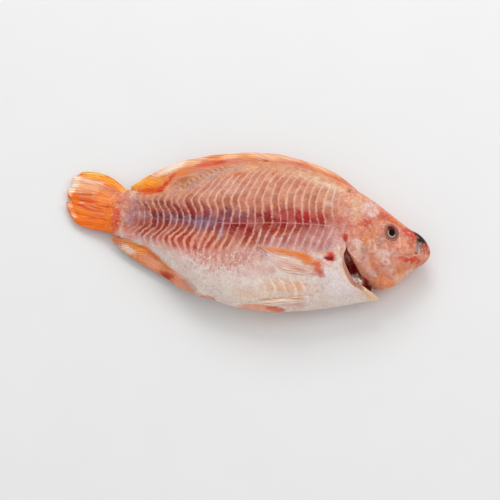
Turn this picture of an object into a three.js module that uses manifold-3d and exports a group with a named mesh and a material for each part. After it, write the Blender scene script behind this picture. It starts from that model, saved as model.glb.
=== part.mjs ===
// A whole raw fish, deep-bodied and red-gold, lying on its left side with its fins folded.
//
// Frame: millimetres. +X points to the snout, +Y to the back, +Z up. The fish rests on z = 0.
// Everything is laid out on the plan (x, y): outlines bound it, a mid-plane and a
// half-thickness give its two faces, and each face is a smooth skin over that plan.

import * as THREE from 'three';
import { ParametricGeometry } from 'three/addons/geometries/ParametricGeometry.js';
import { mergeVertices } from 'three/addons/utils/BufferGeometryUtils.js';
import Module from 'manifold-3d';

const wasm = await Module();
wasm.setup();

// ---------------------------------------------------------------- driving dimensions, mm

const SNOUT_X = 150;
const TAIL_ROOT_X = -118;
const SKIN_SINK = 1.2;
const SOCKET_GAP = 0.3;
const FLOOR_BLOCK = 400;

// the plan is drawn off centre; the model is moved so that its origin is under its middle
const PLAN_CENTRE = { x: -0.5, y: -4.4 };

// the back, from the root of the tail to the snout
const BACK = [
  [TAIL_ROOT_X, 17], [-108, 18.6], [-98, 19], [-84, 18.5], [-76, 21.5], [-68, 28.5], [-60, 34],
  [-48, 40], [-26, 48], [-8, 54], [10, 57], [28, 57], [46, 54.4], [64, 49.2], [80, 43.5],
  [98, 34.7], [121, 20.2], [136, 11.2], [145, 4.2], [SNOUT_X, -4],
];

// the belly, from the root of the tail to the pointed throat
const BELLY = [
  [TAIL_ROOT_X, -17.5], [-108, -21], [-99, -24.3], [-88, -27], [-74, -33], [-62, -41],
  [-49, -51], [-37, -60], [-25, -66.8], [-8, -71.8], [10, -74], [24, -74], [45, -71],
  [70, -65], [90, -58.3], [104, -53.8], [114, -51],
];

// the lower edge of the head: gill cover, chin and lower lip
const CHIN = [
  [70, -36], [96, -38], [104, -40], [112, -41.8], [122, -38.3], [131, -29.4], [140, -18.5],
  [147, -12], [SNOUT_X, -4],
];

// where the flank is thickest, the height of the mid-plane, and the half-thickness there
const RIDGE = [[TAIL_ROOT_X, -1], [-60, -6], [0, -7], [60, -6], [95, -6], [120, -9], [SNOUT_X, -4]];
const MID = [
  [-155, 3], [-125, 5.5], [-108, 8.5], [-90, 11], [-70, 14], [-45, 16.8], [-20, 18], [100, 18],
  [130, 17], [SNOUT_X, 15.5],
];
const HALF = [
  [TAIL_ROOT_X, 1.2], [-110, 4.2], [-100, 7], [-88, 9], [-72, 12.5], [-50, 17], [-25, 20.3],
  [5, 21.5], [45, 21.5], [80, 20.8], [100, 19.5], [115, 17], [128, 13.3], [138, 10],
  [145, 7.2], [SNOUT_X, 0],
];

// the section: how the thickness falls away towards the back and towards the belly
const BACK_FALL = { power: 1.9, root: 0.6 };
const BELLY_FALL = { power: 2.3, root: 0.5 };

// the front rim of the trunk behind the gills, as x over the share of the way up from the belly
const RIM = [
  [0, 114], [0.02, 109], [0.07, 98.7], [0.14, 91], [0.26, 84.2], [0.37, 80], [0.42, 80],
  [0.48, 81.5], [0.54, 82.5], [0.69, 84], [0.84, 87], [1, 90],
];

// the rear edge of the head: the free edge of the gill cover below, hidden in the nape above
const COVER = [
  [0, 104.7], [0.05, 97], [0.13, 93.6], [0.19, 89], [0.25, 84.2], [0.3, 82], [0.36, 80],
  [0.45, 77.5], [0.6, 75.5], [0.76, 74], [1, 70],
];
// the cover stands proud of the flank at its edge, below the top of the gill slit
const COVER_LIP = { height: 1.4, reach: 16, topY: -14, fade: 12, thinFlank: 8 };
// above the slit the trunk runs on under the nape, a little lower than the head
const NAPE = { sink: 0.5, x: 70, fade: 6, fromY: -16 };

// the flesh and gill arches at the bottom of the gill slit
const GILL_CORE = { rear: 70, front: 112, share: 0.5, foot: 0.16, head: 0.8 };

const TAIL_FIN = {
  root: [[-100, 16], [-102, 8], [-102, -2], [-101, -12], [-97, -21]],
  margin: [
    [-141, 32.4], [-146, 28], [-149.5, 22], [-148, 18.5], [-151, 13.5], [-150, 9], [-145.6, 5.2],
    [-150, 2.6], [-148, -2], [-144, -8.4], [-138.5, -14], [-131, -17.2],
  ],
  bulge: [[0, 6.6], [0.3, 3], [1, -0.5]],
  thickness: [[0, 5], [0.25, 3.8], [0.6, 2.6], [1, 1.4]],
  folds: 7,
  fold: 0.5,
};

// fins along the outline: x, inner edge y, free edge y
const DORSAL_FIN = {
  base: [
    [-98.5, 19.5], [-90, 14.5], [-78, 14.5], [-70, 22], [-60, 30], [-48, 36], [-26, 44.5],
    [10, 53.5], [28, 53.5], [46, 51], [64, 46], [88, 37.5],
  ],
  edge: [
    [-98.5, 21.5], [-90, 29.5], [-81, 36.6], [-69.5, 43.4], [-58.4, 49.8], [-46.7, 53.2],
    [-36, 57.3], [-21, 60.5], [-2.5, 64], [18, 65.2], [31.4, 63.6], [44.6, 61.8],
    [58.3, 58], [69.4, 53.2], [80, 46.4], [88, 40],
  ],
  lift: [[-98.5, 1.5], [-70, 1], [-40, 0], [88, -1]],
  thickness: [[-98.5, 1.8], [-70, 3], [0, 3], [88, 2.4]],
  thinness: 0.45,
};
const ANAL_FIN = {
  base: [
    [-106.5, -25], [-92, -25.5], [-80, -27.5], [-66, -35], [-49, -48], [-37, -57],
    [-26, -64], [-17, -67],
  ],
  edge: [
    [-106.5, -26.2], [-93, -36], [-85.5, -40], [-64.2, -49.6], [-54.2, -54.6], [-45, -60.2],
    [-34, -64.6], [-26, -67.6], [-17, -69.4],
  ],
  lift: [[-106.5, -3.5], [-80, -7], [-60, -9.5], [-45, -8], [-17, -1.5]],
  thickness: [[-106.5, 1.8], [-60, 3], [-17, 3.2]],
  thinness: 0.45,
};

// fins that lie on the skin: an upper and a lower edge from the base to the tip
const PECTORAL_FIN = {
  upper: [[67, -34], [60, -31.5], [51, -28], [38, -28.5], [26, -27.5], [16, -26.5]],
  lower: [[67, -46.5], [60, -48.5], [51, -50.5], [38, -50.5], [27, -46], [16, -38]],
  thickness: 1.3,
};
const PELVIC_FIN = {
  upper: [[59, -60.5], [45, -64], [30, -67.5], [12, -72]],
  lower: [[60, -66], [45, -69.6], [30, -72.4], [12, -73.2]],
  thickness: 1.5,
};

// ellipsoids set square to the cheek: their size, how far they stand out, their turn in the plan
const EYE = { x: 116.8, y: 2, length: 11.6, height: 15.4, depth: 7, stand: 2.1, turn: 0.12 };
const MOUTH_FOLD = { x: 141.2, y: -1.6, length: 6.4, height: 18, depth: 4, stand: 2, turn: 0.2 };
const SLOPE_STEP = 0.5;
const DOME_RINGS = { round: 16, down: 10 };

// how many stations along and sides round each lens has
const GRID = {
  trunk: [44, 30],
  head: [24, 28],
  gillCore: [12, 16],
  tailFin: [16, 44],
  dorsalFin: [36, 10],
  analFin: [22, 10],
  pectoralFin: [12, 14],
  pelvicFin: [10, 14],
};

// points closer than this are one point, and a span is never less
const WELD = 1e-5;

// how square the rounding at the two edges of a thin fin is: 2 would be an ellipse
const FIN_EDGE_POWER = { tail: 4, outline: 6, skin: 4 };

const WET_SKIN = { color: 0xd98c82, roughness: 0.4 };
const WET_EYE = { color: 0x1c1613, roughness: 0.1 };

// ---------------------------------------------------------------- curves over the plan

// A monotone cubic through the stations [x, value]: no overshoot between them.
function smooth(stations) {
  const xs = stations.map((s) => s[0]);
  const ys = stations.map((s) => s[1]);
  const last = xs.length - 1;
  const gaps = xs.slice(1).map((x, i) => x - xs[i]);
  const rises = gaps.map((gap, i) => (ys[i + 1] - ys[i]) / gap);
  const slopes = xs.map((_, i) => {
    if (i === 0) return rises[0];
    if (i === last) return rises[last - 1];
    if (rises[i - 1] * rises[i] <= 0) return 0;
    const before = gaps[i - 1] + 2 * gaps[i];
    const after = 2 * gaps[i - 1] + gaps[i];
    return (before + after) / (before / rises[i - 1] + after / rises[i]);
  });
  return (x) => {
    const at = THREE.MathUtils.clamp(x, xs[0], xs[last]);
    const i = Math.min(last - 1, Math.max(0, xs.findIndex((s) => s > at) - 1));
    const cell = at >= xs[last] ? last - 1 : i;
    const t = (at - xs[cell]) / gaps[cell];
    const rest = 1 - t;
    return ys[cell] * (1 + 2 * t) * rest * rest + slopes[cell] * gaps[cell] * t * rest * rest
      + ys[cell + 1] * t * t * (3 - 2 * t) - slopes[cell + 1] * gaps[cell] * t * t * rest;
  };
}

// The same over the root of the distance from the snout, so that both ends meet round there.
function smoothToSnout(stations) {
  const toRoot = (x) => Math.sqrt(Math.max(0, SNOUT_X - x));
  const curve = smooth(stations.map(([x, y]) => [toRoot(x), y]).reverse());
  return (x) => curve(toRoot(x));
}

// A point at share t along a smooth line through plan points.
function along(points) {
  const shares = points.map((_, i) => i / (points.length - 1));
  const x = smooth(points.map((p, i) => [shares[i], p[0]]));
  const y = smooth(points.map((p, i) => [shares[i], p[1]]));
  return (t) => [x(t), y(t)];
}

const back = smoothToSnout(BACK);
const belly = smooth(BELLY);
const chin = smoothToSnout(CHIN);
const ridge = smooth(RIDGE);
const mid = smooth(MID);
const half = smoothToSnout(HALF);
const rim = smooth(RIM);
const cover = smooth(COVER);

// 1 across the middle of a strip, falling to 0 at its edges w = 0 and 1.
function rounded(w, power) {
  return Math.sqrt(Math.max(0, 1 - (2 * w - 1) ** power));
}

function fall(share, { power, root }) {
  return (1 - THREE.MathUtils.clamp(share, 0, 1) ** power) ** root;
}

// Half-thickness of the flank at a plan point, between the back and a lower outline.
function flank(x, y, lower) {
  const crest = ridge(x);
  if (y > crest) {
    return half(x) * fall((y - crest) / Math.max(back(x) - crest, WELD), BACK_FALL);
  }
  return half(x) * fall((crest - y) / Math.max(crest - lower(x), WELD), BELLY_FALL);
}

// ---------------------------------------------------------------- solids

function solid(geometry) {
  const bare = geometry.clone();
  bare.deleteAttribute('normal');
  bare.deleteAttribute('uv');
  const merged = mergeVertices(bare, WELD);
  return new wasm.Manifold(new wasm.Mesh({
    numProp: 3,
    vertProperties: new Float32Array(merged.attributes.position.array),
    triVerts: new Uint32Array(merged.index.array),
  }));
}

function geometryOf(body) {
  const mesh = body.getMesh();
  const geometry = new THREE.BufferGeometry();
  const positions = new Float32Array(mesh.vertProperties);
  geometry.setAttribute('position', new THREE.BufferAttribute(positions, 3));
  geometry.setIndex(new THREE.BufferAttribute(new Uint32Array(mesh.triVerts), 1));
  geometry.computeVertexNormals();
  return geometry;
}

// A lens over the plan. place(u, w) is a plan point, with w = 0 and 1 on the two edges, and
// thick(x, y, u, w) gives [height of the middle, half-thickness]. The first and last stations
// close to the middle, so that both ends are walls.
function lens(place, thick, [stations, sides]) {
  return solid(new ParametricGeometry((v, u, target) => {
    const step = Math.round(u * stations);
    const share = THREE.MathUtils.clamp((step - 1) / (stations - 2), 0, 1);
    const turn = Math.round(v * sides) % sides;
    const angle = 2 * Math.PI * turn / sides;
    const across = (1 - Math.cos(angle)) / 2;
    const [x, y] = place(share, across);
    const [height, halfThick] = thick(x, y, share, across);
    const onEdge = turn === 0 || 2 * turn === sides;
    const onWall = step === 0 || step === stations;
    const side = onEdge || onWall ? 0 : Math.sign(sides / 2 - turn);
    target.set(x, y, height - side * halfThick);
  }, sides, stations));
}

// The trunk, from the root of the tail to the rim behind the gills and the throat.
function trunk() {
  const place = (u, w) => {
    const x = THREE.MathUtils.lerp(TAIL_ROOT_X, rim(w), u);
    return [x, THREE.MathUtils.lerp(belly(x), back(x), w)];
  };
  const thick = (x, y) => {
    const underNape = THREE.MathUtils.smoothstep(x, NAPE.x, NAPE.x + NAPE.fade);
    const sink = y > NAPE.fromY ? NAPE.sink * underNape : 0;
    return [mid(x), Math.max(0, flank(x, y, belly) - sink)];
  };
  return lens(place, thick, GRID.trunk);
}

// The head, from the gill cover's edge to the snout, with the cover standing a little proud.
function head() {
  const place = (u, w) => {
    const x = THREE.MathUtils.lerp(cover(w), SNOUT_X, 1 - (1 - u) ** 2);
    return [x, THREE.MathUtils.lerp(chin(x), back(x), w)];
  };
  const thick = (x, y, u, w) => {
    const { height, reach, topY, fade, thinFlank } = COVER_LIP;
    const nearEdge = 1 - THREE.MathUtils.smoothstep(x - cover(w), 0, reach);
    const below = 1 - THREE.MathUtils.smoothstep(y, topY, topY + fade);
    const taper = Math.min(1, flank(x, y, chin) / thinFlank);
    return [mid(x), flank(x, y, chin) + height * nearEdge * below * taper];
  };
  return lens(place, thick, GRID.head);
}

// The gill arches and throat muscle between them, thinner than both.
function gillCore() {
  const place = (u, w) => {
    const x = THREE.MathUtils.lerp(GILL_CORE.rear, GILL_CORE.front, u);
    const share = THREE.MathUtils.lerp(GILL_CORE.foot, GILL_CORE.head, w);
    return [x, THREE.MathUtils.lerp(belly(x), back(x), share)];
  };
  const thick = (x, y, u, w) => [mid(x), GILL_CORE.share * half(x) * rounded(w, 2)];
  return lens(place, thick, GRID.gillCore);
}

// The tail fin: a fan from the root to the notched margin, softly folded along its rays.
function tailFin() {
  const root = along(TAIL_FIN.root);
  const margin = along(TAIL_FIN.margin);
  const bulge = smooth(TAIL_FIN.bulge);
  const thickness = smooth(TAIL_FIN.thickness);
  const place = (u, w) => {
    const from = root(w);
    const to = margin(w);
    const swell = bulge(w) * 4 * u * (1 - u);
    return [THREE.MathUtils.lerp(from[0], to[0], u), THREE.MathUtils.lerp(from[1], to[1], u) + swell];
  };
  const thick = (x, y, u, w) => {
    const fold = TAIL_FIN.fold * u * Math.cos(2 * Math.PI * TAIL_FIN.folds * w);
    return [mid(x) + fold, thickness(u) / 2 * rounded(w, FIN_EDGE_POWER.tail)];
  };
  return lens(place, thick, GRID.tailFin);
}

// A fin along the outline, from its base inside the body to its free edge.
function edgeFin({ base, edge, lift, thickness, thinness }, grid) {
  const inner = smooth(base);
  const outer = smooth(edge);
  const rise = smooth(lift);
  const thick = smooth(thickness);
  const from = edge[0][0];
  const to = edge[edge.length - 1][0];
  const towardsBack = Math.sign(edge[1][1]);
  const place = (u, w) => {
    const x = THREE.MathUtils.lerp(from, to, u);
    const share = towardsBack > 0 ? w : 1 - w;
    return [x, THREE.MathUtils.lerp(inner(x), outer(x), share)];
  };
  const height = (x, y, u, w) => {
    const share = towardsBack > 0 ? w : 1 - w;
    const halfThick = thick(x) / 2 * (1 - thinness * share) * rounded(w, FIN_EDGE_POWER.outline);
    return [mid(x) + rise(x) * share, halfThick];
  };
  return lens(place, height, grid);
}

// A fin that lies on the skin of one side: +1 above, -1 below.
function skinFin({ upper, lower, thickness }, side, grid) {
  const top = along(upper);
  const bottom = along(lower);
  const place = (u, w) => {
    const a = bottom(1 - u);
    const b = top(1 - u);
    return [THREE.MathUtils.lerp(a[0], b[0], w), THREE.MathUtils.lerp(a[1], b[1], w)];
  };
  const height = (x, y, u, w) => {
    const halfThick = (thickness + SKIN_SINK) / 2 * rounded(w, FIN_EDGE_POWER.skin);
    const middle = flank(x, y, belly) + (thickness - SKIN_SINK) / 2;
    return [mid(x) + side * middle, halfThick];
  };
  return lens(place, height, grid);
}

// An ellipsoid on one cheek, square to the skin there: side +1 is the upper cheek, -1 the lower.
function dome({ x, y, length, height, depth, stand, turn }, side, grow) {
  const level = flank(x, y, chin);
  const slopeX = (flank(x + SLOPE_STEP, y, chin) - level) / SLOPE_STEP;
  const slopeY = (flank(x, y + SLOPE_STEP, chin) - level) / SLOPE_STEP;
  const outward = new THREE.Vector3(-side * slopeX, -side * slopeY, 1).normalize();
  const lean = new THREE.Quaternion().setFromUnitVectors(new THREE.Vector3(0, 0, 1), outward);
  const geometry = new THREE.SphereGeometry(1, DOME_RINGS.round, DOME_RINGS.down);
  geometry.scale(length / 2 + grow, height / 2 + grow, depth / 2 + grow);
  geometry.rotateZ(turn);
  geometry.applyQuaternion(lean);
  const centre = new THREE.Vector3(x, y, mid(x) + side * level);
  centre.addScaledVector(outward, side * (stand - depth / 2));
  geometry.translate(centre.x, centre.y, centre.z);
  return solid(geometry);
}

// All that lies below the resting plane.
function floorBlock() {
  const block = new THREE.BoxGeometry(FLOOR_BLOCK, FLOOR_BLOCK, FLOOR_BLOCK);
  block.translate(0, 0, -FLOOR_BLOCK / 2);
  return solid(block);
}

function fish() {
  const fins = [
    tailFin(),
    edgeFin(DORSAL_FIN, GRID.dorsalFin),
    edgeFin(ANAL_FIN, GRID.analFin),
    ...[1, -1].flatMap((side) => [
      skinFin(PECTORAL_FIN, side, GRID.pectoralFin),
      skinFin(PELVIC_FIN, side, GRID.pelvicFin),
    ]),
  ];
  const flesh = [trunk(), head(), gillCore(), ...fins].reduce((sum, piece) => sum.add(piece));
  const hollows = [1, -1].flatMap((side) => [dome(EYE, side, SOCKET_GAP), dome(MOUTH_FOLD, side, 0)]);
  return [...hollows, floorBlock()].reduce((body, tool) => body.subtract(tool), flesh);
}

// The eye on one cheek, pressed flat where the fish lies on it.
function eye(side) {
  return dome(EYE, side, 0).subtract(floorBlock());
}

// ---------------------------------------------------------------- the model

function part(name, body, { color, roughness }) {
  const material = new THREE.MeshStandardMaterial({ color, roughness, metalness: 0 });
  const mesh = new THREE.Mesh(geometryOf(body), material);
  mesh.name = name;
  return mesh;
}

const model = new THREE.Group();
model.position.set(-PLAN_CENTRE.x, -PLAN_CENTRE.y, 0);
model.add(part('fish', fish(), WET_SKIN));
model.add(part('eye_right', eye(1), WET_EYE));
model.add(part('eye_left', eye(-1), WET_EYE));

export default model;
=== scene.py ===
"""A whole raw red fish lying on its left side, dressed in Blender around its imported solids.

All outlines are drawn on a plan in millimetres: x runs to the snout, y to the back. Each side
of the fish is a height over that plan, so every skin here is a function of two parameters.
"""

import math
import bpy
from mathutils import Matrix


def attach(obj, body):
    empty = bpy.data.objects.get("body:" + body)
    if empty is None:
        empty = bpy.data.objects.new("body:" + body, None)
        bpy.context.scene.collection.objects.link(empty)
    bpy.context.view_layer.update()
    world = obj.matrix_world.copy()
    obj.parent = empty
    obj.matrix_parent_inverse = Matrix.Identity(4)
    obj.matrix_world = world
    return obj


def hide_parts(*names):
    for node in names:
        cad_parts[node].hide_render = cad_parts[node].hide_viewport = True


bl_info = {
    "name": "Whole raw fish",
    "version": (1, 0, 0),
    "blender": (4, 5, 0),
    "location": "3D View > Sidebar > Fish",
    "description": "Builds the skin, fins, gills and eyes of a whole raw fish around its solids",
    "category": "Object",
}

from functools import partial

import bpy
import numpy as np
from mathutils import Vector

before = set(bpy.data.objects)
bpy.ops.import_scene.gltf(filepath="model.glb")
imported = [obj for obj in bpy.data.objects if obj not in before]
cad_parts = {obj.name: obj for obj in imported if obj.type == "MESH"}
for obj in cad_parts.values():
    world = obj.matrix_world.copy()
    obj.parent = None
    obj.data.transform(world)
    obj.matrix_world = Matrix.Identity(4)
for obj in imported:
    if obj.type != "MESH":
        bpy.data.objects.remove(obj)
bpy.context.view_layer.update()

MM = 0.001
SKIN_SLOT, FIN_SLOT, FLESH_SLOT, EYE_SLOT = "fish_skin", "fish_fin", "fish_flesh", "fish_eye"
SIDES = {"right": 1, "left": -1}
# keeps a share from being divided by nothing
TINY = 1e-5

# ------------------------------------------------------------------ the plan, in millimetres

# the plan is drawn off centre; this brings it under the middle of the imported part
PLAN_SHIFT = np.array([0.5, 4.4, 0.0])
SNOUT_X = 150.0
TAIL_ROOT_X = -118.0

BACK = [
    (TAIL_ROOT_X, 17), (-108, 18.6), (-98, 19), (-84, 18.5), (-76, 21.5), (-68, 28.5), (-60, 34),
    (-48, 40), (-26, 48), (-8, 54), (10, 57), (28, 57), (46, 54.4), (64, 49.2), (80, 43.5),
    (98, 34.7), (121, 20.2), (132, 13.6), (138, 11.3), (143, 8.2), (147.4, 3), (SNOUT_X, -4),
]
BELLY = [
    (TAIL_ROOT_X, -17.5), (-108, -21), (-99, -24.3), (-88, -27), (-74, -33), (-62, -41),
    (-49, -51), (-37, -60), (-25, -66.8), (-8, -71.8), (10, -74), (24, -74), (45, -71),
    (70, -65), (90, -58.3), (104, -53.8), (114, -51),
]
CHIN = [
    (70, -36), (96, -38), (104, -40), (112, -41.8), (122, -38.3), (131, -29.4), (140, -18.5),
    (147, -12), (SNOUT_X, -4),
]
RIDGE = [(TAIL_ROOT_X, -1), (-60, -6), (0, -7), (60, -6), (95, -6), (120, -9), (SNOUT_X, -4)]
MID = [
    (-155, 3), (-125, 5.5), (-108, 8.5), (-90, 11), (-70, 14), (-45, 16.8), (-20, 18), (100, 18),
    (130, 17), (SNOUT_X, 15.5),
]
HALF = [
    (TAIL_ROOT_X, 1.2), (-110, 4.2), (-100, 7), (-88, 9), (-72, 12.5), (-50, 17), (-25, 20.3),
    (5, 21.5), (45, 21.5), (80, 20.8), (100, 19.5), (115, 17), (128, 13.3), (138, 10),
    (145, 7.2), (SNOUT_X, 0),
]
# how the thickness falls from the ridge to the outlines: power and root
BACK_FALL = (1.9, 0.6)
BELLY_FALL = (2.3, 0.5)

# the trunk's front rim and the gill cover's edge: x over the share of the way up the body
RIM = [
    (0, 114.4), (0.01, 113.6), (0.027, 111.3), (0.055, 107.8), (0.084, 103.8), (0.105, 101.2),
    (0.12, 98.8), (0.135, 95.8), (0.155, 92.8), (0.18, 90.8), (0.207, 88.9), (0.24, 86.8),
    (0.27, 84.9), (0.323, 82.3), (0.357, 81.9), (0.396, 82.8), (0.44, 83.4), (0.5, 83.6),
    (0.69, 84.5), (0.84, 87), (1, 90),
]
COVER = [
    (0, 103.4), (0.022, 99), (0.052, 95.6), (0.087, 92.8), (0.121, 90), (0.161, 87.5),
    (0.204, 84.2), (0.25, 82.8), (0.3, 81.6), (0.36, 80), (0.45, 77.5), (0.6, 75.5),
    (0.76, 74), (1, 70),
]
COVER_LIP = {"height": 1.4, "reach": 16.0, "top_y": -14.0, "fade": 12.0, "thin": 8.0}
SLIT_TOP_Y = -16.5
NAPE_DIVE = 1.2
RIM_ROUND = 1.1
RIM_DISH = 6.0
FLAP = {"thick": 2.0, "depth": 11.0}
# the core's front reaches under the jaw, where it is dark: painted shadow between chin and throat
GILL_CORE = {"rear": 72.0, "front": 107.0, "foot": 0.1, "head": 0.62}
THROAT_BEVEL = {"least": 0.6, "reach": 4.2, "depth": 3.2, "from_y": -20.0, "full_y": -42.0}
# the thinnest that a half of the body gets, and the half-thickness where relief starts to fade
LEAST_TALL = 0.02
RELIEF_FADE = 4.0
# swellings and hollows of the gill flesh: x, y, half-lengths, turn in degrees, height
GILL_LUMPS = [
    (90, -33.4, 6.5, 3.2, -32, -4.5), (94, -39.6, 6.4, 3.8, -26, 4.0),
    (99, -38.6, 4, 2.4, -30, 2.4),
]
GILL_ARCH_PITCH, GILL_FILAMENT_PITCH = 4.6, 1.6

TAIL_FIN = {
    "root": [(-100, 16), (-102, 8), (-102, -2), (-101, -12), (-97, -21)],
    "margin": [
        (-141, 32.4), (-146, 28), (-149.5, 22), (-148, 18.5), (-151, 13.5), (-150, 9),
        (-145.6, 5.2), (-150, 2.6), (-148, -2), (-144, -8.4), (-138.5, -14), (-131, -17.2),
    ],
    "bulge": [(0, 6.6), (0.3, 3), (1, -0.5)],
    "thick": [(0, 5), (0.25, 3.8), (0.6, 2.6), (1, 1.4)],
    "notch": [(-146, 5.4), (-134, 3), (-120, -2)],
    "folds": 7,
    "fold": 0.5,
    "darker": (0.92, 0.72, 0.48),
}
DORSAL_FIN = {
    "base": [
        (-98.5, 19.5), (-90, 14.5), (-78, 14.5), (-70, 22), (-60, 30), (-48, 36), (-26, 44.5),
        (10, 53.5), (28, 53.5), (46, 51), (64, 46), (88, 37.5),
    ],
    "edge": [
        (-98.5, 21.5), (-90, 29.5), (-81, 36.6), (-69.5, 43.4), (-58.4, 49.8), (-46.7, 53.2),
        (-36, 57.3), (-21, 60.5), (-2.5, 64), (18, 65.2), (31.4, 63.6), (44.6, 61.8),
        (58.3, 58), (69.4, 53.2), (80, 46.4), (88, 40),
    ],
    "lift": [(-98.5, 1.5), (-70, 1), (-40, 0), (88, -1)],
    "thick": [(-98.5, 1.8), (-70, 3), (0, 3), (88, 2.4)],
    "rake": 3.4,
    "pitch": 6.5,
    "seed": 800,
}
ANAL_FIN = {
    "base": [
        (-106.5, -25), (-92, -25.5), (-80, -27.5), (-66, -35), (-49, -48), (-37, -57),
        (-26, -64), (-17, -67),
    ],
    "edge": [
        (-106.5, -26.2), (-93, -36), (-85.5, -40), (-64.2, -49.6), (-54.2, -54.6), (-45, -60.2),
        (-34, -64.6), (-26, -67.6), (-17, -69.4),
    ],
    "lift": [(-106.5, -3.5), (-80, -7), (-60, -9.5), (-45, -8), (-17, -1.5)],
    "thick": [(-106.5, 1.8), (-60, 3), (-17, 3.2)],
    "rake": 4.0,
    "pitch": 5.5,
    "seed": 900,
}
# the share of its thickness that a fin loses to its edge, and how much darker its rays are
FIN_THINNESS = 0.45
OUTLINE_FIN_DARKER = (0.9, 0.68, 0.5)
SKIN_FIN_DARKER = (0.88, 0.70, 0.60)
PECTORAL_FIN = {
    "upper": [(67, -34.5), (61.5, -32.4), (51, -28), (38.6, -27), (26.4, -26.6), (12, -25)],
    "lower": [(67, -45.4), (60, -46.8), (51, -48.4), (40, -48.4), (29, -44), (13, -33)],
    "thick": 1.1,
    "fray": 2.0,
    "rays": 13,
    "seed": 1000,
    "patches": [
        ("blotch pale", 43, -41, 18, 6, -4, 0.65), ("rose belly", 42, -42, 18, 4.4, -6, 0.45),
        ("orange", 38, -30.2, 26, 3.6, -5, 0.95), ("orange", 54, -34.4, 10, 4.8, -30, 0.95),
        ("deep orange", 50, -31.6, 9, 2, -14, 0.5), ("bone", 46, -38, 9, 1.0, -12, 0.5),
        ("red orange", 62.5, -39, 3.2, 6.4, 28, 0.75), ("rose", 61, -43.6, 3, 2.4, 0, 0.5),
        ("grey brown", 46, -47.2, 11, 0.8, 0, 0.55), ("bone", 40, -43.6, 8, 0.8, -4, 0.5),
    ],
}
PELVIC_FIN = {
    "upper": [(59, -60.5), (45, -64), (30, -67.5), (12, -72)],
    "lower": [(60, -66), (45, -69.6), (30, -72.4), (12, -73.2)],
    "thick": 1.5,
    "fray": 2.0,
    "rays": 3,
    "seed": 1100,
    "patches": [],
}
# how deep the fins on the flank are sunk into the skin
SKIN_SINK = 1.2
EYE = {
    "x": 116.8, "y": 2.0, "length": 11.6, "height": 15.4, "depth": 7.0, "stand": 2.1, "turn": 0.12,
}
# seen square to the cheek, from the eye's middle: x, y and half-lengths
EYE_PUPIL = (-0.4, -1.5, 2.7, 3.2)
EYE_STAIN = (-0.5, 2.4, 3.4, 3.6)
SOCKET_GAP, SOCKET_DEPTH, SOCKET_BRIM = 0.3, 2.6, 0.35
# the length over which the cheek's slope at the eye is measured
SLOPE_STEP = 0.5

# ------------------------------------------------------------------ the muscle bands

# the thin seam along the middle of the flank, and the spacing of the bands along it
SEAM = [
    (-118, -4), (-88, -7), (-65, -11), (-17, -12), (4, -9.5), (21.6, -6.5), (40, -4), (60, -2.5),
    (72, -1.5), (90, -1),
]
BAND_PITCH = [(-118, 5.2), (-30, 5.35), (-15, 6.3), (27, 6.3), (40, 6.0), (90, 6.0)]
# where one seam surely stands, and the marks between which the bands are counted
BAND_ON_X = 15.0
BAND_MARK = 0.1
BAND_MARKS = np.linspace(-140, 110, 2501)
# how the bands waver, everywhere and near the tail: height, size and seed of each noise
BAND_WAVES = [(0.5, 26, 3), (0.25, 9, 4), (0.2, 4.2, 6)]
BAND_REAR_WAVES = [(0.45, 5, 5)]
# sets the noise of each band far from its neighbour's: for the hue and for the depth
HUE_APART, DEPTH_APART = 57.0, 41.0
# how far a band's edge lies behind its crossing with the seam, over the height above the seam
BAND_FRONT = [
    (-40, -10.5), (-30, -7.5), (-22, -5), (-16, -3.3), (-10, -1.8), (-5, -0.8), (0, 0), (5, -1),
    (10, -1.9), (16, -2.9), (22, -4), (28, -3.3), (34, -2.1), (40, -0.5), (44, 1.2), (50, 4.5),
    (58, 10),
]
BAND_MIDDLE = [
    (-40, -3), (-34, -5), (-26, -6.6), (-20, -5.6), (-15, -3.8), (-10, -2.2), (-5, -1), (0, 0),
    (6, -0.1), (11, -1), (16, -3.2), (20, -4.2), (24, -3.6), (29, -1.6), (34, 0.8), (39, 3),
    (46, 7.5), (52, 12),
]
BAND_REAR = [
    (-32, 1), (-25, -3.5), (-20, -7), (-17, -8.6), (-15, -8.3), (-12, -5.6), (-9, -2.6),
    (-6, -0.7), (-3, -0.1), (0, 0), (3, -0.3), (7, -1.8), (10, -4), (13.5, -6.6), (18, -7.8),
    (21, -7.2), (24, -5.6), (27, -3.5), (31, -0.5), (36, 4), (44, 12),
]
BAND_FRONT_X, BAND_MIDDLE_X, BAND_REAR_X = 15.0, -25.0, -55.0
# where the bands end below, and where the white belly and the tan strip of the back start
BAND_FOOT = [
    (-112, -18), (-92, -21), (-83, -24.5), (-74, -27), (-60, -30.5), (-47, -35.5), (-36, -37),
    (-27, -36.5), (-20, -34.5), (-12, -32.5), (-1, -29), (9, -29), (19, -26), (34, -23), (66, -22),
    (90, -16),
]
BELLY_LINE = [
    (-112, -18), (-100, -21), (-88, -24.5), (-75, -27.5), (-62, -33), (-50, -37.5), (-38, -41.5),
    (-20, -46), (0, -44), (15, -38), (30, -32), (60, -26), (76, -20), (90, -16),
]
STRIP_LINE = [
    (-112, 16), (-80, 12), (-66, 12), (-55, 11), (-47, 18), (-37, 25), (-28, 32), (-16, 38),
    (-4, 42), (15, 44), (35, 42), (50, 38), (66, 34), (90, 26),
]

# ------------------------------------------------------------------ numbers to surfaces


def linear(hex_colour):
    """A hex sRGB colour as linear red, green and blue."""
    value = np.array([int(hex_colour[i:i + 2], 16) for i in (1, 3, 5)]) / 255
    return np.where(value <= 0.04045, value / 12.92, ((value + 0.055) / 1.055) ** 2.4)


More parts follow.
